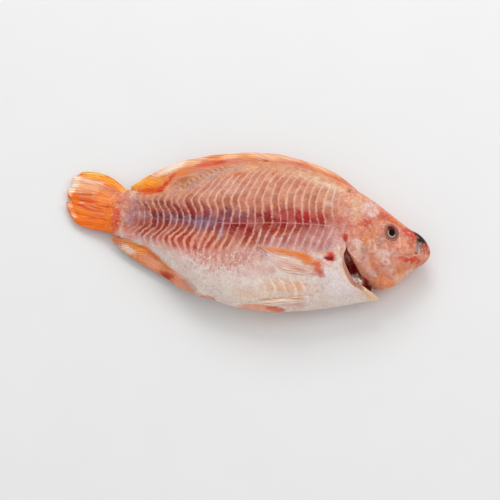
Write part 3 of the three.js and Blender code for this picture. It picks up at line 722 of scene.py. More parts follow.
# soft patches: hue, x, y, half-lengths, turn in degrees, share of the hue at its middle
PATCHES = [
    # root of the tail, and the narrow part before it
    ("salmon", -101, 6, 7, 12, 0, 0.9), ("rose", -108, 9, 6, 7, 0, 0.5),
    ("fin red", -105.5, -8, 4, 8, 8, 0.9), ("red orange", -105, -16, 4, 5, 0, 0.85),
    ("cream", -95, 14, 4, 4.5, 0, 0.7), ("mauve", -93, 6, 5, 7, 0, 0.75),
    ("mauve", -93, -8, 8, 9, 0, 0.75), ("pink red", -86, -12, 6, 4, 0, 0.55),
    ("pink red", -92, -19, 9, 3.4, -6, 0.5), ("lilac", -95, -10, 2.5, 4, 0, 0.5),
    ("mauve", -76, -14, 10, 7, 0, 0.35), ("lilac", -83, -6, 7, 2.2, -10, 0.85),
    ("violet", -90.5, -0.5, 2.6, 3, 0, 0.45), ("dark red", -84, -0.5, 3.6, 2.8, 0, 0.55),
    ("pink belly", -78, -26.5, 14, 3, -12, 0.7), ("rose belly", -88, -22, 10, 3, -8, 0.6),
    # under the rear of the back fin
    ("salmon", -80, 10, 12, 3.4, 0, 0.6), ("orange brown", -84.5, 10, 1.4, 4, 20, 0.4),
    ("orange brown", -64.5, 4, 1.8, 4, 0, 0.75), ("rose belly", -61, 15, 5, 8, -30, 0.7),
    ("orange brown", -57, 28, 8, 4.4, 34, 0.55), ("strip mauve", -47, 22, 9, 4, 44, 0.85),
    ("strip mauve", -33, 32, 10, 4, 36, 0.85), ("mauve", -42, 38, 7, 3, 36, 0.55),
    ("strip mauve", -18, 41, 12, 3.2, 22, 0.7),
    # the back
    ("cream", -4, 45, 9, 3.4, 10, 0.4), ("amber", -3, 47, 4, 4, 0, 0.25),
    ("orange", -14, 36.5, 9, 2.2, 16, 0.7), ("burnt", -13, 36, 4, 1.6, 20, 0.4),
    ("orange brown", 15.5, 40.5, 1.4, 1.4, 0, 0.6), ("cream", 14, 34, 4, 3.4, 0, 0.5),
    ("cream", 33, 45, 14, 7, -5, 0.45), ("salmon", 18, 46, 12, 3, 0, 0.5),
    ("cream", 55, 38, 17, 7, -12, 0.85), ("cream", 60, 24, 12, 9, -10, 0.4),
    ("cream", 69, 27, 9, 13, 0, 0.6), ("pink belly", 66, 18, 5, 6, 0, 0.5),
    ("bone", 66, 34, 6, 6, 0, 0.5), ("orange", 74, 41.5, 12, 4, -22, 0.85),
    ("orange", 85, 34, 4, 7, 0, 0.7), ("burnt", 84.6, 39.4, 1.6, 3, 0, 0.7),
    ("orange brown", 78.9, 37.5, 0.9, 3.2, -14, 0.85), ("brown", 79.4, 35.2, 0.7, 1.0, 0, 0.7),
    ("orange brown", 77.5, 30, 0.8, 1.5, 0, 0.5), ("orange", 61, 22.5, 3, 3, 40, 0.5),
    # the shoulder
    ("salmon", 74, 16, 7, 14, 0, 0.75), ("lilac", 79, 14, 2.4, 5, 0, 0.5),
    ("pink red", 75, 4, 4, 4, 0, 0.6), ("front pale", 68, -12, 8, 11, 0, 0.9),
    ("lilac", 66, -22, 7, 5, 0, 0.45), ("red", 81, -10.4, 2.2, 3.4, 4, 0.9),
    ("orange brown", 82, -13.5, 1.4, 1.6, 0, 0.5), ("cream", 75, -24, 3.6, 8, 0, 0.5),
    ("salmon", 80, -23, 2, 5, 0, 0.8),
    # blood under the skin, over the seams too
    ("pink red", 37, 1, 30, 7, 5, 0.55), ("pink red", -4, -16, 16, 8, 2, 0.55),
    ("pink red", 28, -9, 16, 4, 6, 0.4), ("seam red", -52, -2, 24, 7, -6, 0.35),
    ("rose zone", -20, 20, 22, 9, 0, 0.4),
    # the front of the flank, under the middle seam
    ("front pale", 52, -18, 14, 8, 0, 0.7), ("white belly", 14, -17.5, 4, 3.2, 10, 0.65),
    ("lilac", -28, -13, 17, 6, -4, 0.6), ("lilac", -58, -10, 26, 4.6, -5, 0.65),
    ("lilac", -17.5, -22, 3, 8, -12, 0.75), ("lilac", -36, -16, 8, 5, 0, 0.6),
    ("violet pale", -30, -10, 16, 4, 0, 0.7),
    # where the flank meets the belly
    ("rose zone", -24, -41, 20, 6, -10, 0.6), ("rose zone", 2, -36, 20, 8, 4, 0.7),
    ("rose belly", 20, -46, 12, 5, 10, 0.4), ("rose belly", 4, -41, 8, 4, 0, 0.4),
    ("rose belly", 27, -46, 4, 3, 0, 0.55), ("pink belly", 10, -48, 16, 7, 0, 0.6),
    ("rose zone", 60, -55, 14, 5, -6, 0.3), ("cream", 38, -57, 17, 6, 6, 0.6),
    ("orange", 50, -54.5, 6, 3.8, 4, 0.55), ("tan", 36, -57, 17, 5.0, 6, 0.35),
    ("bone", 18, -67, 24, 5, -1, 0.6), ("lilac white", 82, -50, 18, 8, -16, 0.8),
    ("lilac white", 73, -40, 8, 6, 0, 0.6), ("pink belly", -46, -42, 16, 4.4, -38, 0.55),
    ("lilac white", -38, -47, 12, 4, -36, 0.4), ("fin red", 71.4, -27.6, 3.6, 4.4, 0, 0.95),
    ("blood spot", 71.0, -29.8, 5.2, 2.6, 4, 1.0), ("orange", 66, -26.5, 4, 2.2, 0, 0.5),
    ("red orange", 64, -35, 4, 4.5, 20, 0.55), ("red", 66, -43, 3.0, 4.2, 20, 0.6),
    ("rose", 71, -35, 4, 3, 0, 0.35),
    # the lower edge, with the pelvic fins
    ("pink belly", 50, -67, 12, 3, 9, 0.7), ("salmon bright", 21, -73.0, 20, 1.7, 3, 0.85),
    ("belly red", 34, -72.2, 8, 1.0, 5, 0.9), ("white fin", 38, -67.4, 16, 1.2, 9, 1.0),
    ("tan", 49, -62.9, 7.5, 1.5, 12, 0.55), ("line brown", 47, -64.8, 9, 0.6, 12, 0.4),
    ("line brown", 30, -67, 12, 0.6, 12, 0.8), ("red orange", -20, -69.2, 8, 0.8, -16, 0.6),
    # back fin, rear part
    ("yellow", -95, 24.5, 5, 3.4, 36, 1.0), ("amber", -84, 26, 12, 5, 22, 0.95),
    ("yellow", -88, 29, 6, 2.0, 34, 0.5), ("gold", -92, 26, 5, 2, 34, 0.5),
    ("peach", -76, 35, 9, 2.6, 30, 0.6), ("deep orange", -82, 20.5, 11, 4.6, 8, 0.8),
    ("burnt fin", -82, 17.2, 11, 4.6, 4, 1.0), ("fin red", -74, 19.2, 5, 3.8, 20, 1.0),
    ("crimson", -74, 17.0, 2.4, 2.2, 0, 0.5), ("fin red", -70.5, 25, 2.8, 5.4, -24, 0.9),
    ("red", -66.5, 33, 1.8, 5, -34, 0.7), ("rose", -63, 31, 2.4, 8, -28, 0.6),
    ("deep orange", -60, 37, 7, 1.4, 24, 0.5), ("white fin", -67, 41.8, 16, 4.0, 29, 1.0),
    ("peach", -52, 47.6, 9, 3.0, 24, 0.7), ("bright orange", -30, 53.6, 14, 1.4, 12, 0.8),
    ("peach", -26, 59.2, 18, 1.0, 13, 0.85), ("peach", -79, 37.6, 7, 2.2, 31, 0.85),
    ("orange", -56, 42.6, 10, 1.2, 16, 0.6),
    # back fin, middle and front
    ("rose", -42, 44.5, 10, 4, 26, 0.75), ("red orange", -36, 48.5, 16, 2.4, 18, 0.75),
    ("red", -30, 50, 6, 1.5, 18, 0.6), ("peach", -44, 52.6, 8, 1.5, 22, 0.7),
    ("orange", -30, 56.4, 14, 1.6, 14, 0.5), ("peach", -21, 57.2, 10, 2.0, 13, 0.95),
    ("amber", -9, 58.6, 8, 1.5, 6, 0.85), ("rose", -16, 53, 10, 3, 10, 0.7),
    ("burnt", 7, 56.8, 2.6, 3.2, 0, 0.75), ("peach", 12, 61.4, 28, 3.2, -1, 0.95),
    ("rose", 28, 58.8, 14, 2.2, -6, 0.6), ("red orange", 32, 59, 7, 1.3, -8, 0.4),
    ("peach", 52, 57.5, 20, 1.9, -19, 0.85), ("orange", 56, 53, 18, 3, -18, 0.6),
    # anal fin
    ("lilac", -101.5, -29, 3, 1.6, -30, 0.6), ("white fin", -92, -33, 8, 3, -24, 0.75),
    ("bright orange", -80, -34.4, 8, 3, -20, 0.7), ("amber", -84, -32.4, 10, 1.6, -18, 0.5),
    ("deep orange", -79, -31.5, 8, 1.1, -18, 0.55), ("anal pink", -72, -42, 13, 4, -28, 0.8),
    ("red orange", -70, -37, 8, 1.4, -30, 0.4), ("anal pink", -48, -55, 14, 4, -34, 0.7),
    ("red", -57, -51.3, 7.0, 2.6, -22, 0.75), ("crimson", -57.5, -51.8, 4.0, 1.2, -22, 0.4),
    ("strip mauve", -38, -60, 9, 2.2, -32, 0.5),
    # tail fin
    ("gold", -133, 31.6, 13, 2.6, -2, 1.0), ("amber", -132, 28.2, 11, 2.0, -2, 1.0),
    ("amber", -117, 25.4, 10, 2.6, -26, 1.0), ("amber", -106, 18, 5, 2.2, -30, 0.8),
    ("white fin", -145.6, 21.5, 5, 8, 0, 1.0), ("white fin", -148, 14.5, 3.4, 4.4, 0, 1.0),
    ("peach", -134, 18.5, 16, 7.5, -3, 0.72), ("white fin", -134, 24, 12, 2.0, -6, 0.55),
    ("salmon", -116, 16, 9, 4.6, -16, 0.7), ("bright orange", -118, 9, 9, 7, 0, 0.8),
    ("burnt", -137, 11.7, 10, 1.1, 0, 0.85), ("rose", -137, 8.8, 4, 1.2, -4, 0.7),
    ("lilac", -129, 8.8, 2.2, 1.2, 0, 0.5), ("red orange", -133, 5.7, 8, 1.0, -5, 0.95),
    ("peach", -137, 3.9, 3, 0.8, 0, 0.7), ("rose", -130, 2.6, 7, 1.2, -6, 0.6),
    ("red orange", -137, 1.6, 5, 1.2, -12, 0.9), ("burnt", -127, -1.8, 9, 1.0, -12, 0.95),
    ("burnt", -121, -9.4, 10, 0.8, -6, 0.6), ("amber", -136, -4.2, 8, 2.0, -10, 0.4),
    ("salmon bright", -120, -4, 12, 7, -8, 0.15), ("burnt", -117, 1.5, 8, 1.0, -8, 0.6),
    ("peach", -146.5, 0.5, 2.2, 5, 24, 0.7), ("peach", -142, -7, 1.8, 5, 34, 0.6),
    ("orange brown", -106, 4.6, 2.2, 1.6, 0, 0.55),
]
# the same on the head
HEAD_PATCHES = [
    ("cream", 87, 20, 6, 15, 0, 0.7), ("pink belly", 98, 21, 7, 11, 0, 0.8),
    ("lilac white", 96, 26, 3, 4, -30, 0.4), ("orange", 91, 2, 3.4, 7, 0, 0.45),
    ("lilac white", 98, 14, 3, 3.4, 0, 0.2), ("salmon", 104, 26, 9, 4, -30, 0.55),
    ("orange", 93, 33, 5, 3, -30, 0.7), ("lilac", 112, 24, 3.4, 2.6, -30, 0.55),
    ("red orange", 118, 16, 14, 5.4, -36, 0.9), ("rust", 111, 16.5, 7, 4.4, -20, 0.6),
    ("burnt", 107, 15, 2.6, 6, -10, 0.5), ("deep orange", 116.5, 18, 3.6, 2.6, -30, 0.5),
    ("burnt", 115, 13.8, 3.4, 1.6, -6, 0.75), ("deep orange", 121, 18, 4, 2, -36, 0.6),
    ("orange", 124, 14.5, 5, 2.2, -34, 0.8), ("red", 96.5, 6, 4.6, 6, 0, 0.75),
    ("pink red", 90, 4, 4, 4, 0, 0.4), ("red", 131, 7.2, 7.5, 4.6, -26, 0.9),
    ("rust", 134, -1, 4.5, 6, 10, 0.6), ("dark red", 133, 11.4, 6, 1.8, -36, 0.9),
    ("red orange", 129, 5.6, 4.5, 3, -16, 0.75), ("rose", 124, 6, 2.6, 4, 0, 0.6),
    ("grey pink", 130, 2.4, 3, 2, 0, 0.75), ("grey pink", 108, -8, 5, 4, 0, 0.75),
    ("salmon bright", 126, -5, 6, 6, 12, 0.85), ("orange", 97.6, -8, 1.6, 6, 2, 0.75),
    ("cream", 105.6, -14, 0.9, 6, 20, 0.7), ("cream", 100.5, -13, 1.6, 4, 14, 0.5),
    ("grey pink", 96.4, -18, 3.2, 4, 20, 0.95), ("grey pink", 98.5, -24, 2.2, 4.4, 24, 0.7),
    ("blotch pale", 101, -28, 3.4, 5, 20, 0.5), ("pink belly", 90.5, -14, 4, 5, 16, 0.9),
    ("bone", 93, -19, 2, 6, 30, 0.5), ("pink belly", 92, -23, 2.6, 5, 34, 0.7),
    ("orange", 104.5, -28.5, 4, 4, 0, 0.55), ("pink belly", 106, -34, 4.4, 2.2, -14, 0.6),
    ("pink belly", 113, -18, 6, 5, 0, 0.85), ("lilac white", 115, -24, 4, 3, 0, 0.45),
    ("pink belly", 105.6, -17, 3.4, 3, 0, 0.5), ("lilac", 121, -16, 3, 3, 0, 0.45),
    ("pink red", 115, -24, 1.7, 1.5, 0, 0.55), ("pink belly", 120, -28, 7, 5, 0, 0.3),
    ("pink red", 129.5, -17.8, 5, 2.2, 6, 0.85), ("orange brown", 126.4, -16.8, 1.6, 1.3, 0, 0.6),
    ("red orange", 139, -14.6, 5, 2.8, 30, 0.9), ("red orange", 131, -18, 6, 2.2, 8, 0.6),
    ("red", 133.6, -17.4, 3.4, 2.2, 10, 0.6), ("peach", 128, -31, 6, 3, 44, 0.6),
    ("bone", 136, -24, 5, 2.0, 44, 0.55), ("orange", 127.5, -27, 5, 3.4, 40, 0.7),
    ("bright orange", 117, -37.5, 9, 3, 6, 0.6), ("crimson", 101.2, -38.2, 3.6, 0.9, -22, 0.85),
    ("salmon bright", 144.5, -8, 3.4, 5, 0, 0.7), ("rose", 141.6, -12, 3.2, 1.6, 36, 0.6),
    ("red", 147.4, -3, 2.4, 5.4, 0, 0.85), ("red", 147.6, 0.2, 2.0, 2.6, 0, 0.6),
    ("ash", 140, -3, 3.4, 7.6, 10, 0.95), ("brown", 138.2, 2.2, 1.4, 2.4, 0, 0.5),
    ("lilac white", 140.6, -5.6, 0.9, 3.2, 10, 0.6), ("ink", 141.2, 6.8, 6.8, 4.8, -38, 1.0),
    ("ink", 143.6, 3.4, 2.2, 2.8, 10, 0.9), ("dark red", 145.4, 1.6, 1.0, 3.6, 0, 0.8),
    ("blood", 138.2, -9.6, 1.3, 1.4, 0, 0.9), ("dark red", 144.6, -4.4, 0.7, 4.6, 8, 0.5),
    ("grey pink", 117, 2, 7.6, 9.4, 7, 0.7), ("eye shade", 113.5, -5, 5, 3, -20, 0.5),
    ("brown", 117, -4.4, 4.6, 0.9, 0, 0.45), ("red", 81, -10.4, 2.6, 3.4, 4, 0.9),
    ("ash", 88.4, -27.4, 1.4, 7, 48, 0.8), ("ash", 94.6, -34.2, 1.2, 4, 44, 0.7),
    ("bone", 91.2, -25.6, 0.6, 5.4, 54, 0.6), ("orange", 103, -4, 3.4, 9, 6, 0.3),
    ("fin red", 133, 4.5, 4.5, 3.0, -24, 0.5),
]
# on the deep flesh in the middle of the bands
BAND_PATCHES = [
    ("low deep", -50, -27, 34, 9, -22, 0.5), ("seam deep", -50, -1, 30, 8, -6, 0.85),
    ("crimson", -44, -6, 18, 6, -16, 0.6), ("seam deep", -76, -8, 14, 8, 0, 0.5),
    ("mauve", -92, -6, 10, 12, 0, 0.6), ("orange brown", -13, 8, 8, 7, 0, 0.7),
    ("orange brown", 7, 12, 3, 4, 0, 0.7), ("violet", -10, -4, 22, 8, 0, 0.9),
    ("violet", -33, -14, 14, 7, 0, 0.9), ("slate", -34, -14, 7, 4, 0, 0.5),
    ("violet", -55, -13, 14, 4, 0, 0.6), ("maroon", -58, -8, 26, 2.6, -6, 0.75),
    ("maroon", -56, -13.6, 10, 2, 0, 0.5), ("crimson", -19, -2, 3, 4, 0, 0.6),
    ("crimson", 36, 0.5, 32, 8.5, 5, 1.0), ("bright crimson", 36, 3.4, 26, 5.5, 5, 0.6),
    ("blood", 17, -2.5, 8, 4, 4, 0.7), ("crimson", 28, -8, 18, 3, 6, 0.85),
    ("crimson", -4, -15, 14, 6, 2, 1.0), ("blood", -6, -14, 9, 3.4, 4, 0.8),
    ("crimson", 3, -21, 9, 5, 0, 0.7), ("low deep", -6, -24, 8, 5, 0, 0.35),
    ("low deep", 28, -15, 17, 6, 4, 1.0), ("bright crimson", 46, 2, 13, 6, 6, 0.85),
    ("dark red", 35, -15, 3, 7, 0, 0.7), ("dark red", 21, -16, 3.4, 5, 0, 0.7),
    ("red", 53, 5, 12, 4, 0, 0.35), ("front deep", 58, -12, 14, 9, 0, 0.75),
    ("crimson", -68, -17, 20, 8, -12, 0.3), ("maroon", -78, 4, 18, 3.2, -4, 0.5),
]
# on the flesh in the gill slit
GILL_PATCHES = [
    ("gill brown", 84, -22, 6, 9, 20, 1.0), ("brown pink", 84.5, -26, 2.6, 3, 20, 0.8),
    ("dark red", 84.4, -20, 1.4, 3, 10, 0.8), ("gill dark", 86.2, -22.6, 0.9, 1.4, 0, 0.9),
    ("gill dark", 84.8, -26, 0.8, 1.1, 0, 0.8), ("dark red", 87.5, -29, 3, 2, -20, 0.7),
    ("crimson", 90.5, -33, 7, 3.4, -32, 1.0), ("gill dark", 89, -33.4, 4, 1.6, -32, 0.3),
    ("flesh white", 94.4, -39.2, 6.6, 4.4, -28, 1.0),
    ("flesh white", 90.4, -36.8, 3.4, 2.6, -10, 1.0), ("tan", 97, -37.4, 4, 1.6, -30, 0.85),
    # the gill dark patch at x 104 is painted shadow, in the gap between chin and throat
    ("pink red", 100.4, -39.4, 3, 1.4, -30, 0.9), ("gill dark", 104, -44, 4, 5, 0, 0.9),
    ("pink red", 97.6, -38.6, 2.2, 0.8, -20, 0.8), ("crimson", 101, -41.6, 2.2, 1.4, -20, 0.9),
]
# where the lips and the blood behind the gills are kept free of blotches
LIP_ZONE = (141.5, 3, 5, 9, 0)
BLOOD_ZONE = (71, -28.5, 6, 5, 0)
# the pale lines in the belly wall, and the row of ticks under the back fin
CHEVRON_ZONE = (37, -56.5, 23, 8, 6)
CHEVRON_PITCH = 8.4
TICK_ROW = [(-56, 19), (-49, 26), (-42, 32), (-34, 38), (-26, 43.5)]
TICK_PITCH = 5.632


def patch_share(x, y, cx, cy, a, b, turn, seed):
    """A soft ellipse with a ragged brim: 1 inside and 0 outside, eased over a width that is
    about the same in millimetres for small and large ones."""
    far = in_ellipse(x, y, cx, cy, a, b, turn)
    thin = min(a, b)
    low, high = 1 - min(0.65, 0.14 * thin + 0.1), 1.05 + min(0.3, 0.08 * thin)
    jag = 0.17 * np.clip(3 * thin / max(a, b), 0.35, 1)
    near = far < 2.2
    share = np.zeros(far.shape)
    ragged = jag * cloud(x[near], y[near], 0.8 * thin + 1.5, seed)
    share[near] = 1 - step(low, high, far[near] + ragged)
    return share


def lay(tone, *layers):
    """Lays hues over a tone one after another, each with its share at every point."""
    for hue, share in layers:
        hue = HUES[hue] if isinstance(hue, str) else hue
        tone = mix(tone, hue, share[..., None])
    return tone


def paint(tone, x, y, patches, seed):
    """Lays soft patches over a tone one after another, each with a ragged brim of its own."""
    return lay(tone, *(
        (hue, share * patch_share(x, y, *place, seed + k))
        for k, (hue, *place, share) in enumerate(patches)
    ))


def body_tone(x, y):
    """The colour of plain skin, and of the pale tissue between the bands, over the whole plan:
    flank, back, belly, and the fins beyond the outline, with all patches laid on."""
    ragged = cloud(x, y, 12, 21)
    above, past_back, past_belly = y - seam(x), y - back(x), belly(x) - y
    tone = lay(
        HUES["flank pale"],
        ("seam pale", bell(above, 11) * step(-105, -80, x)),
        ("low pale", step(-8, -16, above) * step(0, -30, x)),
        ("front pale", step(-6, -14, above) * step(-10, 20, x)),
        ("back tan", step(-4, 5, y - strip_line(x) + ragged) * (1 - step(60, 84, x))),
        ("white belly", 1 - step(-7, 5, y - belly_line(x) + 2.2 * ragged)),
        ("salmon", step(-2.5, 0.5, past_back) * step(-60, -40, x)),
        ("orange", step(-1.5, 0.5, past_back) * step(-45, -60, x) * step(-100, -97, x)),
        ("orange", step(-0.5, 1.5, past_belly) * step(-20, -40, x)),
        ("deep orange", step(-101, -112, x - 0.12 * np.abs(y))),
    )
    return paint(tone, x, y, PATCHES, SKIN_SEED)


def chevrons(x, y):
    """Pale lines in the belly wall that point to the head at their lower end."""
    run = (x + 0.65 * np.abs(y + 63) + 0.8 * cloud(x, y, 9, 71)) / CHEVRON_PITCH
    near = 1 - step(0.6, 1.15, in_ellipse(x, y, *CHEVRON_ZONE))
    return near * step(0.55, 0.95, np.cos(2 * np.pi * run))


def tick_marks(x, y):
    """A row of short dark ticks where the rear of the back fin's muscles end."""
    run = (x + 0.8 * y) / TICK_PITCH
    return bell(from_line(x, y, TICK_ROW), 2.6) * step(0.15, 0.9, np.cos(2 * np.pi * run))


def band_tone(x, y, skin, above, band):
    """The deep flesh in the middle of the bands. No two bands are of quite the same colour."""
    rear = step(0, -30, x)
    tint = cloud(HUE_APART * band, above, 15, 33)
    deep = lay(
        HUES["flank deep"],
        ("seam deep", bell(above, 10) * step(72, 56, x)),
        ("low deep", step(-8, -16, above) * rear),
        (skin, 0.15 * step(-10, -18, above) * rear),
        (skin, 0.22 * step(6, 13, above) + 0.12 * step(20, 34, above)),
        ("core orange", 0.5 * np.clip(tint, 0, 1)),
        ("core violet", 0.3 * np.clip(-tint, 0, 1)),
    )
    return paint(deep, x, y, BAND_PATCHES, BAND_SEED)


def throat_tone(x, y, skin):
    """The trunk's rim at the gills: a pale line along it and the cut wall's colours, which turn
    from brown pink over tan to the cream tip of the throat."""
    gap, reach = from_line(x, y, rim_points()), throat_bevel(y)[0]
    wall = (1 - step(0.75 * reach, reach, gap)) * step(-22, -30, y)
    return lay(
        skin,
        ("bone", 0.6 * bell(gap - reach - 0.8) * step(-18, -24, y)),
        ("brown pink", 0.95 * wall * (1 - step(92, 98, x))),
        ("rim brown", 0.85 * wall * span(89, 94, 99, 104, x)),
        ("tan", 0.75 * wall * step(99, 104, x)),
        ("throat cream", 0.9 * (1 - step(0.5, 1.6, gap)) * step(97, 102, x)),
        ("throat cream", 0.9 * step(103, 109, x)),
    )


def pocket_and_glint_share(x, y):
    """Where scale pockets and painted glints show: between flank and belly, and at the tail."""
    low = belly_line(x)
    return np.maximum.reduce([
        span(low - 12, low - 4, low + 6, low + 12, y) * span(-44, -34, 2, 22, x),
        0.4 * span(-112, -107, -101, -96, x) * step(6, 0, y),
        0.35 * span(-97, -92, -82, -76, x) * step(6, 10, y),
    ])


def skin_fields(x, y, depth, on_head, sizes):
    """What the skin's material reads at each point: its own colour, with painted shade deep in the
    gill slit, the deep colour in the middle of a muscle band, the bands' phase and share, scale
    pockets and painted glints, and how far inside it is."""
    above, low = y - seam(x), belly_line(x)
    phase, bands = band_phase(x, y), band_share(x, y)
    band = np.round(phase - 0.5)
    ticks, lines = 0.6 * tick_marks(x, y), 0.9 * chevrons(x, y)
    skin = lay(body_tone(x, y), ("brown", ticks), ("chevron cream", lines))
    if on_head:
        skin = lay(skin, ("salmon", step(76, 90, x)))
        skin = paint(skin, x, y, HEAD_PATCHES, HEAD_SEED)
    deep = band_tone(x, y, skin, above, band)
    if on_head:
        tip = 0
        blotched = 0.38 * step(0.9, 1.5, in_ellipse(x, y, *LIP_ZONE))
    else:
        skin = throat_tone(x, y, skin)
        tip = step(97, 102, x)
        blotched = (0.2 - 0.13 * bands) * step(0.8, 1.5, in_ellipse(x, y, *BLOOD_ZONE))
    # in the slit: the wall's brown pink, then painted shade, near black the deeper it lies
    skin = lay(
        skin,
        ("brown pink", 0.6 * step(0.02, 0.15, depth) * (1 - tip)),
        ("gill dark", step(0.2 + 0.2 * tip, 0.5 + 0.3 * tip, depth)),
    )
    outside = 1 - step(0, 0.1, depth)
    uneven = np.clip(0.96 + 0.28 * cloud(DEPTH_APART * band, above, 13, 31), 0, 1.15)
    softer = 1 - 0.35 * step(-5, -11, above) * step(25, 50, x)
    below = step(-3, -12, above) * (1 - 0.5 * step(-20, 10, x))
    return {
        "skin_colour": skin,
        "band_colour": deep,
        "band_phase": phase,
        "band_share": bands * uneven * outside * softer,
        "core_lift": mix(-0.04, -0.2, below) + 0.14 * bell(above, 7) * step(-30, 0, x),
        "seam_gap": above,
        "seam_share": sizes.seam_strength * bands * mix(0.3, 0.9, step(-30, -5, x)),
        "mottle_share": sizes.mottle * mix(0.45, 1, step(low - 6, low + 4, y)),
        "blotch_share": blotched,
        "pocket_and_glint_share": pocket_and_glint_share(x, y) * outside,
    }


# ------------------------------------------------------------------ materials


def add_node(tree, kind, inputs=None, stops=(), **settings):
    """Adds one shader node with its settings and links. An input is a value, a socket, or a node
    whose first live output feeds it; stops are the places and the colours of a ramp."""
    made = tree.nodes.new("ShaderNode" + kind)
    for key, value in settings.items():
        setattr(made, key, value)
    for element, (place, colour) in zip(made.color_ramp.elements if stops else (), stops):
        element.position, element.color = place, (*colour, 1)
    for key, value in (inputs or {}).items():
        if isinstance(value, bpy.types.Node):
            value = next(socket for socket in value.outputs if socket.enabled)
        if isinstance(value, bpy.types.NodeSocket):
            tree.links.new(value, made.inputs[key])
        else:
            made.inputs[key].default_value = value
    return made


def new_material(name):
    """An empty node material, add_node for its tree, and the place in Object coordinates."""
    made = bpy.data.materials.new(name)
    made.use_nodes = True
    made.node_tree.nodes.clear()
    add = partial(add_node, made.node_tree)
    return made, add, add("TexCoord").outputs["Object"]


def from_halfway(add, phase):
    """How far a phase is from halfway between two whole numbers: |fraction - 0.5|."""
    turn = add("Math", {0: phase}, operation="FRACT")
    gap = add("Math", {0: turn, 1: 0.5}, operation="SUBTRACT")
    return add("Math", {0: gap}, operation="ABSOLUTE")


# wet flesh: a soft surface under a thin film of water, with a little light let in
WET = {
    "IOR": 1.38, "Specular IOR Level": 0.2, "Coat IOR": 1.33,
    "Subsurface Radius": (1.0, 0.35, 0.22), "Subsurface Scale": 2 * MM,
}
EASED = {"interpolation_type": "SMOOTHSTEP"}
PLAIN = {"data_type": "RGBA"}
TINTED = {"data_type": "RGBA", "blend_type": "MULTIPLY"}
# how the mottling tints: where its noise is low and high, and its dark and its light end
MOTTLING = {
    "small": (0.32, 0.68, (0.88, 0.79, 0.77), (1.10, 1.19, 1.21)),
    "wide": (0.32, 0.68, (0.89, 0.79, 0.78), (1.09, 1.20, 1.21)),
    "fibre": (0.30, 0.70, (0.92, 0.84, 0.82), (1.08, 1.15, 1.17)),
    "fine": (0.34, 0.66, (0.80, 0.68, 0.66), (1.14, 1.26, 1.29)),
}


